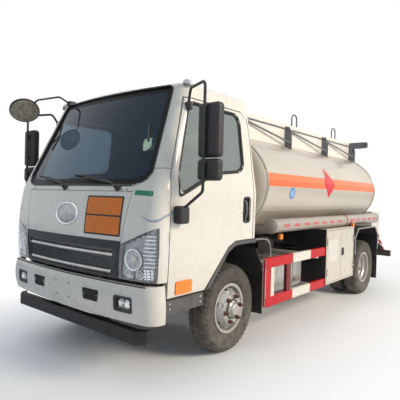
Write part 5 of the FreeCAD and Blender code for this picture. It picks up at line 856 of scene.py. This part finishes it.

# Tyres with ribs, zigzag grooves and shoulder lugs: (along, radius, kind), where kind 1 is cut by the lugs'
# gaps, and 2 follows the zigzag

HALF_SECTION = [(0.068, 0.2034, 0), (0.068, 0.222, 0), (0.077, 0.228, 0), (0.09, 0.252, 0), (0.095, 0.266, 0),
                (0.0965, 0.27, 0), (0.0975, 0.282, 0), (0.099, 0.299, 0), (0.1, 0.304, 0), (0.0995, 0.318, 0),
                (0.0975, 0.336, 0), (0.098, 0.3395, 0), (0.0965, 0.343, 0), (0.093, 0.353, 1),
                (0.0885, 0.3625, 1),
                (0.08, 0.3705, 1), (0.0665, 0.3775, 1), (0.06, 0.3805, 2), (0.0595, 0.37, 2),
                (0.0535, 0.37, 2),
                (0.053, 0.3825, 2), (0.03, 0.3855, 2), (0.0295, 0.375, 2), (0.0225, 0.375, 2),
                (0.022, 0.3865, 2), (0.0, 0.387, 0)]
SECTION = HALF_SECTION + [(-along, radius, kind) for along, radius, kind in reversed(HALF_SECTION[:-1])]
LUGS = 48
STEPS = LUGS * 4
ZIGZAG = 0.0032


def tyre(form, centre):
    """One tyre standing at a place, turned about the axle's line."""
    rings = []
    for along, radius, kind in SECTION:
        ring = []
        for step in range(STEPS):
            shift, size, turn = 0.0, radius, step
            if kind == 1:
                turn += 0.5 * (step % 2)
                if step % 4 >= 2:
                    shift, size = -math.copysign(0.0035, along), radius - 0.0065
            if kind == 2:
                shift = (ZIGZAG if step % 8 < 4 else -ZIGZAG) * (1 if abs(along) < 0.045 else -1)
            angle = 2 * math.pi * turn / STEPS
            ring.append(centre + Vector((along + shift, math.cos(angle) * size, math.sin(angle) * size)))
        rings.append(form.ring(ring))
    bridge(form.bm, rings, closed=True)


NUT_CIRCLE = 0.111
WHEELS = {
    # y, tyres' x, disc's x, rim's x, CAD tyres, hub ring's section, hub bolts' (out, circle, length)
    "front": (0.0, (0.83,), 0.939, 0.91, "front_tyre_",
              [(-0.001, 0.09), (0.004, 0.088), (0.005, 0.08), (0.004, 0.0765), (-0.001, 0.076)],
              (0.01, 0.0635, 0.0065)),
    "rear": (WHEELBASE, (0.665, 0.915), 0.818, 0.995, "rear_tyres_",
             [(-0.001, 0.088), (0.005, 0.086), (0.006, 0.07), (-0.001, 0.069)], (0.067, 0.056, 0.007)),
}
for name, side in SIDES:
    for end, (y, places, disc_x, rim_x, tyre_node, ring, (out, circle, length)) in WHEELS.items():
        body = "%s_wheel_%s_body" % (end, name)
        made = Form()
        for x in places:
            tyre(made, at(side * x, y, TYRE_RADIUS))
        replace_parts(made.done("%s_tread_%s" % (end, name), RUBBER, body, angle=30), tyre_node + name)
        centre = at(side * disc_x, y, TYRE_RADIUS)
        axis = Vector((side, 0, 0))
        bolts, studs = Form(), Form()
        for c, s in turns(6, 10):
            spot = centre + Vector((0, c, s)) * NUT_CIRCLE
            bolts.rod(spot - axis * 0.001, spot + axis * 0.005, 0.0205, 20, 0.0185)
            bolts.rod(spot + axis * 0.004, spot + axis * 0.026, 0.018, 6, 0.0168)
            studs.rod(spot + axis * 0.02, spot + axis * 0.04, 0.0095, 14)
        bolts.done("%s_wheel_nuts_%s" % (end, name), RUST, body, bevel=0.001)
        studs.done("%s_wheel_studs_%s" % (end, name), IRON, body, bevel=0.001)
        trim = Form().lathe(centre, axis, ring, 64)
        for c, s in turns(8, 22.5):
            spot = centre + axis * out + Vector((0, c, s)) * circle
            trim.rod(spot - axis * 0.002, spot + axis * length, 0.0062, 6)
        trim.done("%s_hub_bolts_%s" % (end, name), HUB_DARK, body)
        rings = Form().lathe(at(side * rim_x, y, TYRE_RADIUS), axis,
                             [(-0.004, 0.2195), (0.0006, 0.2195), (0.002, 0.215), (0.0006, 0.2105),
                              (-0.004, 0.2105)], 96)
        stem = (y + 0.176 * math.cos(2.3), TYRE_RADIUS + 0.176 * math.sin(2.3))
        rings.rod(at(side * (rim_x - 0.045), *stem), at(side * (rim_x - 0.012), *stem), 0.0045, 12)
        rings.rod(at(side * (rim_x - 0.016), *stem), at(side * (rim_x - 0.006), *stem), 0.006, 12)
        rings.done("%s_rim_edge_%s" % (end, name), SILVER, body)

# Tank: bands, seam, diamond and round mark on both sides

TANK_FRONT, TANK_REAR, TANK_Z = 0.53, 3.86, 1.5
BAND_LOW, BAND_MIDDLE, BAND_HIGH = 1.49, 1.556, 1.622
round_mark = [(1.085 + 0.058 * c, 1.425 + 0.062 * s) for c, s in turns(32)]
for name, side in SIDES:
    for tag, low, high, finish in (("upper", BAND_MIDDLE, BAND_HIGH, ORANGE_LIGHT),
                                   ("lower", BAND_LOW, BAND_MIDDLE, ORANGE)):
        outline = rectangle(TANK_FRONT + 0.03, TANK_REAR - 0.03, low, high)
        band = Form().film("tank", name, outline, 0.0008, 0.0007, 0.08)
        band.done("band_%s_%s" % (tag, name), finish, "chassis")
    run = [drop("tank", name, y, 1.24, 0.0008) for y in spread(TANK_FRONT + 0.028, TANK_FRONT + 3.302, 160)]
    for index, spot in enumerate(run):
        spot.z += 0.0012 * math.sin(index * 2.1)
    Form().tube(run, 0.0042, 6).done("side_seam_" + name, TANK_SHEET, "chassis")
    marks = (
        ("upper", PINK_PAINT, [(2.03, BAND_MIDDLE), (2.25, BAND_MIDDLE), (2.03, 1.75)],
         [(2.03, 1.75), (2.03, BAND_MIDDLE), (1.935, BAND_MIDDLE)]),
        ("lower", RED_PAINT, [(1.935, BAND_MIDDLE), (2.25, BAND_MIDDLE), (2.08, 1.385)]))
    for tag, finish, *outlines in marks:
        diamond = Form()
        for outline in outlines:
            diamond.film("tank", name, outline, 0.0018, 0.0007, 0.03)
        diamond.done("mark_%s_%s" % (tag, name), finish, "chassis")
    Form().film("tank", name, round_mark, 0.001, 0.0006, 0.03, shrink(round_mark, 0.022)).done(
        "mark_ring_" + name, BLUE_PAINT, "chassis")
    Form().film("tank", name, shrink(round_mark, 0.024), 0.001, 0.0005, 0.03).done(
        "mark_disc_" + name, PALE_BLUE, "chassis")

for tag, y, way in (("front", TANK_FRONT, 1), ("rear", TANK_REAR, -1)):
    ring = Form()
    for offset in (0.004, 0.024):
        run = [at(0.9578 * c, y + way * offset, TANK_Z + 0.6278 * s) for c, s in turns(120)]
        ring.tube(run, 0.0035, 6, closed=True)
    ring.done("end_seam_" + tag, TANK_SHEET, "chassis")

# Coaming: dark rear arms and their eyes

for name, side in SIDES:
    outline = arc_corners([(side * 0.612, 2.181), (side * 0.8365, 2.187), (side * 0.8365, 2.2785),
                           (side * 0.612, 2.2785)], 0.028)
    Form().plate([at(u, 3.8185, v) for u, v in outline], (0, 0.0345, 0)).done(
        "rear_arm_" + name, GREY_BLUE, "chassis", bevel=0.0015)
    eye = Form()
    # The eye's closed, dark middle stands for its hole: painted shade
    for y, way in ((3.8182, -1), (3.8533, 1)):
        eye.lathe(at(side * 0.8, y, 2.232), (0, way, 0),
                  [(-0.001, 0.016), (0.001, 0.016), (0.0012, 0.012), (-0.0006, 0.011), (-0.0006, 0.0)], 24)
    eye.done("rear_arm_eye_" + name, IRON, "chassis")

# Manhole lid: clamps round the rim, a handle and a vent

UP = Vector((0, 0, 1))
LID = "manhole_lid_body"
lid_y = (TANK_FRONT + TANK_REAR) / 2
rim_z = TANK_Z + 0.756
clamps = Form()
for c, s in turns(8, 22.5):
    clamps.bolt(at(0.245 * c, lid_y + 0.245 * s, rim_z), UP, 0.028, 0.018)
clamps.done("lid_bolts", STEEL, LID, bevel=0.001)
LOOP = ((-0.06, -0.004), (-0.055, 0.035), (0.055, 0.035), (0.06, -0.004))
run = [at(x, lid_y - 0.19, rim_z + z) for x, z in LOOP]
Form().tube(smooth_points(run), 0.006, 12).done("lid_handle", STEEL, LID)
VENT = [(0.0, 0.042), (0.02, 0.042), (0.024, 0.03), (0.04, 0.03), (0.046, 0.024), (0.048, 0.0)]
Form().lathe(at(0, lid_y, rim_z + 0.01), UP, VENT, 40).done("lid_vent", ALUMINIUM, LID, bevel=0.001)

# Hose tubes: cap rims, red dashes, joint clamp and small lamps

TUBE_X, TUBE_Z = 0.926, 1.087
for name, side in SIDES:
    cap, clamp = Form(), Form()
    for form, y, radius, wire in ((cap, 0.667, 0.0755, 0.0022), (cap, 0.689, 0.0755, 0.0022),
                                  (clamp, 2.612, 0.0762, 0.003)):
        run = [at(side * TUBE_X + radius * c, y, TUBE_Z + radius * s) for c, s in turns(64)]
        form.tube(run, wire, 6, closed=True)
    cap.done("tube_cap_rim_" + name, STEEL, "chassis")
    dashes = Form()
    for start in [0.815 + 0.24 * i for i in range(7)] + [2.72 + 0.24 * i for i in range(5)]:
        dashes.film("hose_tubes", name, rectangle(start, start + 0.135, 1.076, 1.104), 0.0008, 0.0006)
    dashes.done("tube_dashes_" + name, DASH_RED, "chassis")
    clamp.done("tube_clamp_" + name, DASH_RED, "chassis")
    lamps = Form().block(at(side * 0.92, 0.834, 0.944), at(side * 0.952, 0.886, 1.0))
    feet = Form().block(at(side * 0.916, 0.838, 0.948), at(side * 0.922, 0.882, 1.032))
    feet.block(at(side * 0.915, 0.848, 0.992), at(side * 0.935, 0.872, 1.034))
    if name == "left":
        lamps.block(at(0.992, 2.749, 1.0), at(1.024, 2.801, 1.056))
        feet.block(at(0.988, 2.753, 1.004), at(0.994, 2.797, 1.088))
    lamps.done("side_lamps_" + name, AMBER, "chassis", bevel=0.004)
    feet.done("side_lamp_feet_" + name, BLACK, "chassis", bevel=0.001)

# Side guards: ribbed red and white sleeves round the rails and posts

GUARD_RAILS = ((0.33, 0.422), (0.703, 0.795))
GUARD_ENDS = {"left": (0.425, 0.985, 1.415, 1.8255), "right": (0.425, 0.985, 1.415, 1.845, 2.285, 2.769)}
for name, side in SIDES:
    ends = GUARD_ENDS[name]
    for index, (start, end) in enumerate(zip(ends, ends[1:])):
        sleeve = Form()
        for low, high in GUARD_RAILS:
            sleeve.block(at(side * 0.9885, start + 0.0005, low - 0.0015),
                         at(side * 1.0235, end - 0.0005, high + 0.0015))
            for share in (0.12, 0.88):
                z = low + (high - low) * share
                sleeve.tube([at(side * 1.0232, start + 0.002, z), at(side * 1.0232, end - 0.002, z)],
                            0.0035, 8)
        finish = WHITE_TAPE if index % 2 else RED_TAPE
        sleeve.done("guard_sleeve_%s_%d" % (name, index), finish, "chassis", bevel=0.004)
    post = Form().block(at(side * 0.988, 0.4235, 0.3275), at(side * 1.0245, 0.5365, 0.7975))
    post.done("guard_front_" + name, RED_TAPE, "chassis", bevel=0.015, segments=4)
    # The second post is a darker red: painted shade on the red post
    second = Form().block(at(side * 0.989, 0.849, 0.421), at(side * 1.0228, 0.941, 0.704))
    second.done("guard_post_" + name, RED_PAINTED_SHADE, "chassis", bevel=0.003)

# Fuel tank: bright straps, end seams, cap and the breather pipe

fuel_section = arc_corners(rectangle(0.42, 0.86, 0.35, 0.725), 0.118, 8)
for name, places, before, after, gap, thick, finish, bevel in (
        ("fuel_straps", (0.815, 1.315), 0.002, 0.044, -0.0045, 0.003, STEEL, 0.001),
        ("fuel_end_seams", (0.652, 1.518), 0.004, 0.004, 0.0004, 0.0022, ALUMINIUM, 0.0)):
    form = Form()
    outline = shrink(fuel_section, gap)
    outer = shrink(outline, -thick)
    for y in places:
        rings = [form.ring([at(u, place, v) for u, v in run]) for run, place in
                 ((outline, y - before), (outer, y - before), (outer, y + after), (outline, y + after))]
        bridge(form.bm, rings, closed=True)
    form.done(name, finish, "chassis", bevel=bevel)
top, lean = at(0.73, 0.755, 0.765), Vector((0.25, 0, 1))
cap = Form().lathe(top, lean, [(-0.012, 0.046), (0.012, 0.046), (0.02, 0.04), (0.022, 0.0)], 32)
turn = lean.normalized().to_track_quat("Z", "Y")
for c, s in turns(16):
    spot = top + turn @ Vector((0.046 * c, 0.046 * s, 0))
    cap.tube([spot - turn @ UP * 0.01, spot + turn @ UP * 0.011], 0.0035, 6)
cap.done("fuel_cap", BLACK, "chassis", bevel=0.001)
BREATHER = ((0.7, 1.08, 0.722), (0.7, 1.075, 0.82), (0.7, 1.02, 0.905), (0.7, 0.9, 0.925),
            (0.7, 0.76, 0.93), (0.64, 0.66, 0.915), (0.54, 0.6, 0.86), (0.44, 0.58, 0.76),
            (0.39, 0.575, 0.7))
run = smooth_points([at(*place) for place in BREATHER], 6)
Form().tube(run, 0.013, 12).done("breather_pipe", STEEL, "chassis")

# Pump cabinet: lock, label and the fold lines of the doors

Form().block(at(1.0325, 2.318, 0.655), at(1.04, 2.388, 0.752)).done(
    "cabinet_lock_plate", BLACK, "cabinet_door_rear_body", bevel=0.003, segments=3)
lever = Form().lathe(at(1.0395, 2.352, 0.712), (1, 0, 0),
                     [(0.0, 0.022), (0.004, 0.022), (0.006, 0.017), (0.006, 0.0)], 28)
lever.block(at(1.0445, 2.34, 0.668), at(1.048, 2.364, 0.722))
lever.done("cabinet_lock_lever", HUB_DARK, "cabinet_door_rear_body", bevel=0.002)
Form().film("cabinet_door_front", "left", rectangle(1.905, 2.185, 0.61, 0.87), 0.0006, 0.0005).done(
    "cabinet_label", LABEL, "cabinet_door_front_body")
for door, start, end in (("cabinet_door_front", 1.849, 2.2855), ("cabinet_door_rear", 2.2955, 2.737)):
    outline = rectangle(start + 0.014, end - 0.014, 0.38, 0.968)
    Form().film(door, "left", outline, 0.0, 0.0015, 0.2, shrink(outline, 0.004)).done(
        door + "_fold", CREAM, door + "_body", bevel=0.0006)

# Fender rims, flap bars and the striped rear stays

STRIPES = 5
for name, side in SIDES:
    run = [(-0.497, 0.622), (-0.497, 0.842), (-0.369, 0.967), (0.369, 0.967), (0.497, 0.842), (0.497, 0.622)]
    Form().tube([at(side * 1.036, WHEELBASE + y, z) for y, z in run], 0.0085, 10).done(
        "fender_rim_" + name, FENDER_GREY, "chassis")
    bar = Form().block(at(side * 0.57, WHEELBASE + 0.5095, 0.64), at(side * 1.006, WHEELBASE + 0.5145, 0.672))
    for x in (0.6, 0.79, 0.98):
        bar.bolt(at(side * x, WHEELBASE + 0.514, 0.656), Vector((0, 1, 0)), 0.016, 0.008)
    bar.done("flap_bar_" + name, STEEL, "chassis", bevel=0.001)
    # Each level of the stay: its near edge, its far edge and its height
    top, foot = Vector((4.45, 4.51, 0.798)), Vector((4.83, 4.88, 0.496))
    levels = [top.lerp(foot, share) for share in spread(0, 1, STRIPES)]
    low_x, high_x = sorted((side * 0.8138, side * 0.8462))
    for tag, finish, first in (("red", RED_TAPE, 0), ("white", WHITE_TAPE, 1)):
        stripes = Form()
        for index in range(first, STRIPES, 2):
            (near, far, z), (next_near, next_far, next_z) = levels[index:index + 2]
            patch = ((near - 0.001, z), (far + 0.001, z), (next_far + 0.001, next_z),
                     (next_near - 0.001, next_z))
            stripes.plate([at(low_x, *corner) for corner in patch], (high_x - low_x, 0, 0))
        stripes.done("rear_stay_%s_%s" % (tag, name), finish, "chassis")

for index in range(9):
    start = -0.945 + 0.21 * index
    outline = rectangle(start, start + 0.209, 0.42, 0.47)
    tape = Form().film("rear_underrun_bar", "back", outline, 0.0001, 0.0004)
    tape.done("rear_bar_tape_%d" % index, WHITE_TAPE if index % 2 else RED_TAPE, "chassis")

# Rear valve box: two door panels, hinges and latches

for name, side in SIDES:
    outline = arc_corners(rectangle(*sorted((side * 0.012, side * 0.82)), 0.825, 1.155), 0.01)
    Form().film("valve_box", "back", outline, 0.0, 0.007, 0.3).done(
        "valve_door_" + name, CREAM, "chassis", bevel=0.003)
    fittings = Form()
    for z in (0.89, 1.09):
        fittings.rod(at(side * 0.812, 4.522, z - 0.03), at(side * 0.812, 4.522, z + 0.03), 0.008, 14)
        fittings.block(at(side * 0.77, 4.516, z - 0.022), at(side * 0.812, 4.52, z + 0.022))
    fittings.block(at(side * 0.045, 4.516, 0.95), at(side * 0.085, 4.524, 1.04))
    fittings.lathe(at(side * 0.065, 4.523, 0.995), (0, 1, 0),
                   [(0.0, 0.014), (0.005, 0.014), (0.006, 0.01), (0.006, 0)], 20)
    fittings.done("valve_fittings_" + name, STEEL, "chassis", bevel=0.001)

# Cab interior: papers, gauges, vents, pedals and the gear lever

papers = [(0.06, -0.9), (0.4, -0.925), (0.43, -0.745), (0.09, -0.72)]
Form().film("dashboard", "top", papers, 0.0015, 0.001).done("dash_papers", PAPER, "cab")
gauges = Form()
for x in (0.365, 0.475):
    gauges.lathe(at(x, -0.6, 1.352), (0, 1, 0.35),
                 [(-0.004, 0.05), (0.012, 0.05), (0.012, 0.044), (0.002, 0.04), (0.002, 0.0)], 36)
gauges.done("dash_gauges", GLOSS_BLACK, "cab")
vents = Form()
for x in (-0.62, -0.16, 0.05, 0.7):
    for index in range(5):
        z = 1.262 + 0.014 * index
        vents.block(at(x - 0.05, -0.588, z), at(x + 0.05, -0.572, z + 0.004), Matrix.Rotation(0.25, 3, "X"))
vents.done("dash_vents", BLACK, "cab")
pedals = Form()
for x in (0.33, 0.43, 0.53):
    pedals.block(at(x - 0.032, -0.795, 0.895), at(x + 0.032, -0.78, 0.965), Matrix.Rotation(-0.5, 3, "X"))
    pedals.rod(at(x, -0.79, 0.93), at(x, -0.85, 1.06), 0.008, 10)
pedals.done("pedals", BLACK, "cab", bevel=0.002)
gear = Form().rod(at(0.075, -0.47, 1.06), at(0.075, -0.43, 1.33), 0.009, 14)
gear.ball(at(0.075, -0.428, 1.35), 0.026, (1, 1, 1.2))
gear.lathe(at(0.075, -0.47, 1.032), (0, 0.15, 1),
           [(0.0, 0.075), (0.02, 0.07), (0.06, 0.045), (0.1, 0.025), (0.13, 0.013)], 32)
gear.done("gear_lever", BLACK, "cab", bevel=0.001)

# Seats: padded cushions and backs over hard bases

SWELL_MOST, CHANNEL_DEEP, CROWN = 0.016, 0.008, 0.01
SWELL_FRAMES = 20


def apply_modifiers(thing):
    """Bake a piece's modifiers into its mesh."""
    graph = bpy.context.evaluated_depsgraph_get()
    mesh = bpy.data.meshes.new_from_object(thing.evaluated_get(graph))
    thing.modifiers.clear()
    thing.data = mesh


def swell(piece, lowest):
    """Blow a cushion up a little under pressure, as cloth, but not below its base."""
    remesh = piece.modifiers.new("remesh", "REMESH")
    remesh.mode = "VOXEL"
    remesh.voxel_size = 0.0095
    apply_modifiers(piece)
    before = [vert.co.copy() for vert in piece.data.vertices]
    cloth = piece.modifiers.new("swell", "CLOTH")
    cloth.settings.use_pressure = True
    cloth.settings.uniform_pressure_force = 4
    cloth.settings.effector_weights.gravity = 0
    cloth.point_cache.frame_start, cloth.point_cache.frame_end = 1, SWELL_FRAMES
    for frame_number in range(1, SWELL_FRAMES + 1):
        bpy.context.scene.frame_set(frame_number)
    apply_modifiers(piece)
    bpy.context.scene.frame_set(1)
    for vert, start in zip(piece.data.vertices, before):
        travel = vert.co - start
        if travel.length > SWELL_MOST:
            vert.co = start + travel.normalized() * SWELL_MOST
        vert.co.z = max(vert.co.z, lowest)


def cushion(name, middle_at, half, tilt, channels):
    """A padded block that swells under pressure and keeps its sewn channels (axis, place, half width)."""
    form = Form()
    shrunk = Vector(half) * 0.955
    form.block(-shrunk, shrunk)
    bmesh.ops.bevel(form.bm, geom=form.bm.edges[:], offset=min(half) * 0.55, segments=4, affect="EDGES",
                    profile=0.6)
    bmesh.ops.subdivide_edges(form.bm, edges=form.bm.edges[:], cuts=2, use_grid_fill=True)
    for vert in form.bm.verts:
        crown = (1 - (vert.co.x / half[0]) ** 2) * (1 - (vert.co.y / half[1]) ** 2)
        if vert.co.z > 0:
            vert.co.z += CROWN * max(0.0, crown)
    piece = form.done(name, FABRIC, "cab", angle=180)
    swell(piece, -half[2])
    turn = Matrix.Rotation(tilt, 3, "X")
    for vert in piece.data.vertices:
        if vert.co.z > 0:
            for axis, place, wide in channels:
                near = abs(vert.co[axis] - place) / wide
                if near < 1:
                    vert.co.z -= CHANNEL_DEEP * (1 - near * near) ** 2
        vert.co = turn @ vert.co + middle_at
    smooth = piece.modifiers.new("smooth", "SUBSURF")
    smooth.levels = smooth.render_levels = 1
    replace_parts(piece, "seats")


SEAT_TOP = 1.032
SEAM = 0.014  # Half the width of a sewn channel
for name, x, half, middle_seam in (("driver", 0.42, 0.25, []), ("passenger", -0.3, 0.39, [(0, 0.0, 0.016)])):
    cushion("seat_cushion_" + name, at(x, -0.07, SEAT_TOP + 0.25), (half - 0.004, 0.216, 0.07), -0.06,
            middle_seam + [(0, half - 0.095, SEAM), (0, 0.095 - half, SEAM), (1, -0.1, SEAM)])
    cushion("seat_back_" + name, at(x, 0.168, SEAT_TOP + 0.575), (half - 0.014, 0.278, 0.054),
            math.radians(98.5),
            middle_seam + [(0, half - 0.1, SEAM), (0, 0.1 - half, SEAM), (1, 0.13, SEAM)])
    base = Form().block(at(x - half + 0.042, -0.208, SEAT_TOP + 0.001),
                        at(x + half - 0.042, 0.118, SEAT_TOP + 0.178))
    base.block(at(x - half + 0.01, -0.27, SEAT_TOP + 0.165), at(x + half - 0.01, 0.135, SEAT_TOP + 0.186))
    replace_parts(base.done("seat_base_" + name, TRIM_GREY, "cab", bevel=0.006), "seats")

# Camera, light and floor


def place_object(name, data, spot, turn):
    """Put a camera or a lamp in the scene."""
    made = bpy.data.objects.new(name, data)
    bpy.context.collection.objects.link(made)
    made.location = spot
    made.rotation_mode = "QUATERNION"
    made.rotation_quaternion = turn
    return made


YAW, PITCH, ROLL = math.radians(41.04), math.radians(-0.74), math.radians(1.37)
camera_data = bpy.data.cameras.new("camera")
camera_data.lens = 38.0
camera_data.sensor_width = 36.0
camera_data.shift_x = 0.046
forward = Vector((-math.sin(YAW) * math.cos(PITCH), math.cos(YAW) * math.cos(PITCH), math.sin(PITCH)))
bpy.context.scene.camera = place_object(
    "camera", camera_data, at(3.019, -3.102, 1.383),
    forward.to_track_quat("-Z", "Y") @ Matrix.Rotation(ROLL, 3, "Z").to_quaternion())


def seen_white(tree, lit, kind, share, into):
    """Mix a lit shader with plain white light by a share, into an output."""
    white = add_node(tree, kind, {"Color": (1, 1, 1), "Strength": 1.0})
    set_inputs(tree.nodes[into], {0: add_node(tree, "MixShader", (share, lit, white))})


def any_ray(tree, *rays):
    """1 for the kinds of ray named, 0 for the rest."""
    total = add_node(tree, "LightPath", out=rays[0])
    for ray in rays[1:]:
        total = add_maths(tree, "MAXIMUM", total, add_node(tree, "LightPath", out=ray))
    return total


world = bpy.data.worlds.new("studio")
bpy.context.scene.world = world
world.use_nodes = True
tree = world.node_tree
set_inputs(tree.nodes["Background"], {"Color": (0.7, 0.84, 1.0), "Strength": 0.36})
seen_white(tree, tree.nodes["Background"].outputs[0], "Background",
           any_ray(tree, "Is Camera Ray", "Is Glossy Ray", "Is Transmission Ray"), "World Output")

for name, spot, target, size, power, colour in (
        ("key", (10.0, 1.5, 6.0), (0, 0, 1.2), 4.0, 1020, (1.0, 0.91, 0.77)),
        ("fill_front", (2.0, -11.0, 5.0), (0, -2, 1.2), 7.0, 60, (0.62, 0.79, 1.0)),
        ("fill_top", (-3.0, 0.0, 9.0), (0, 0, 1.0), 8.0, 140, (0.93, 0.96, 1.0)),
        ("fill_back", (-7.0, 8.0, 5.0), (0, 1, 1.2), 6.0, 420, (0.95, 0.97, 1.0))):
    data = bpy.data.lights.new(name, "AREA")
    data.size = size
    data.energy = power
    data.color = colour
    place_object(name, data, spot, (Vector(target) - Vector(spot)).to_track_quat("-Z", "Y"))

ground = bmesh.new()
bmesh.ops.create_grid(ground, x_segments=8, y_segments=8, size=60)
ground_mesh = bpy.data.meshes.new("floor")
ground.to_mesh(ground_mesh)
ground.free()
floor = bpy.data.objects.new("floor", ground_mesh)
bpy.context.collection.objects.link(floor)
ground_mesh.materials.append(FLOOR)
# The floor fades to white away from the truck
tree = FLOOR.node_tree
shorter = add_node(tree, "Mapping", {"Vector": add_node(tree, "TexCoord", out="Object"),
                                     "Scale": (1, 0.42, 1)})
far = add_range(tree, add_node(tree, "VectorMath", (shorter,), "Value", operation="LENGTH"), 1.15, 2.5)
seen_white(tree, tree.nodes["Principled BSDF"].outputs[0], "Emission",
           add_maths(tree, "MULTIPLY", far, any_ray(tree, "Is Camera Ray", "Is Transmission Ray")),
           "Material Output")
bpy.context.scene.view_settings.view_transform = "Standard"
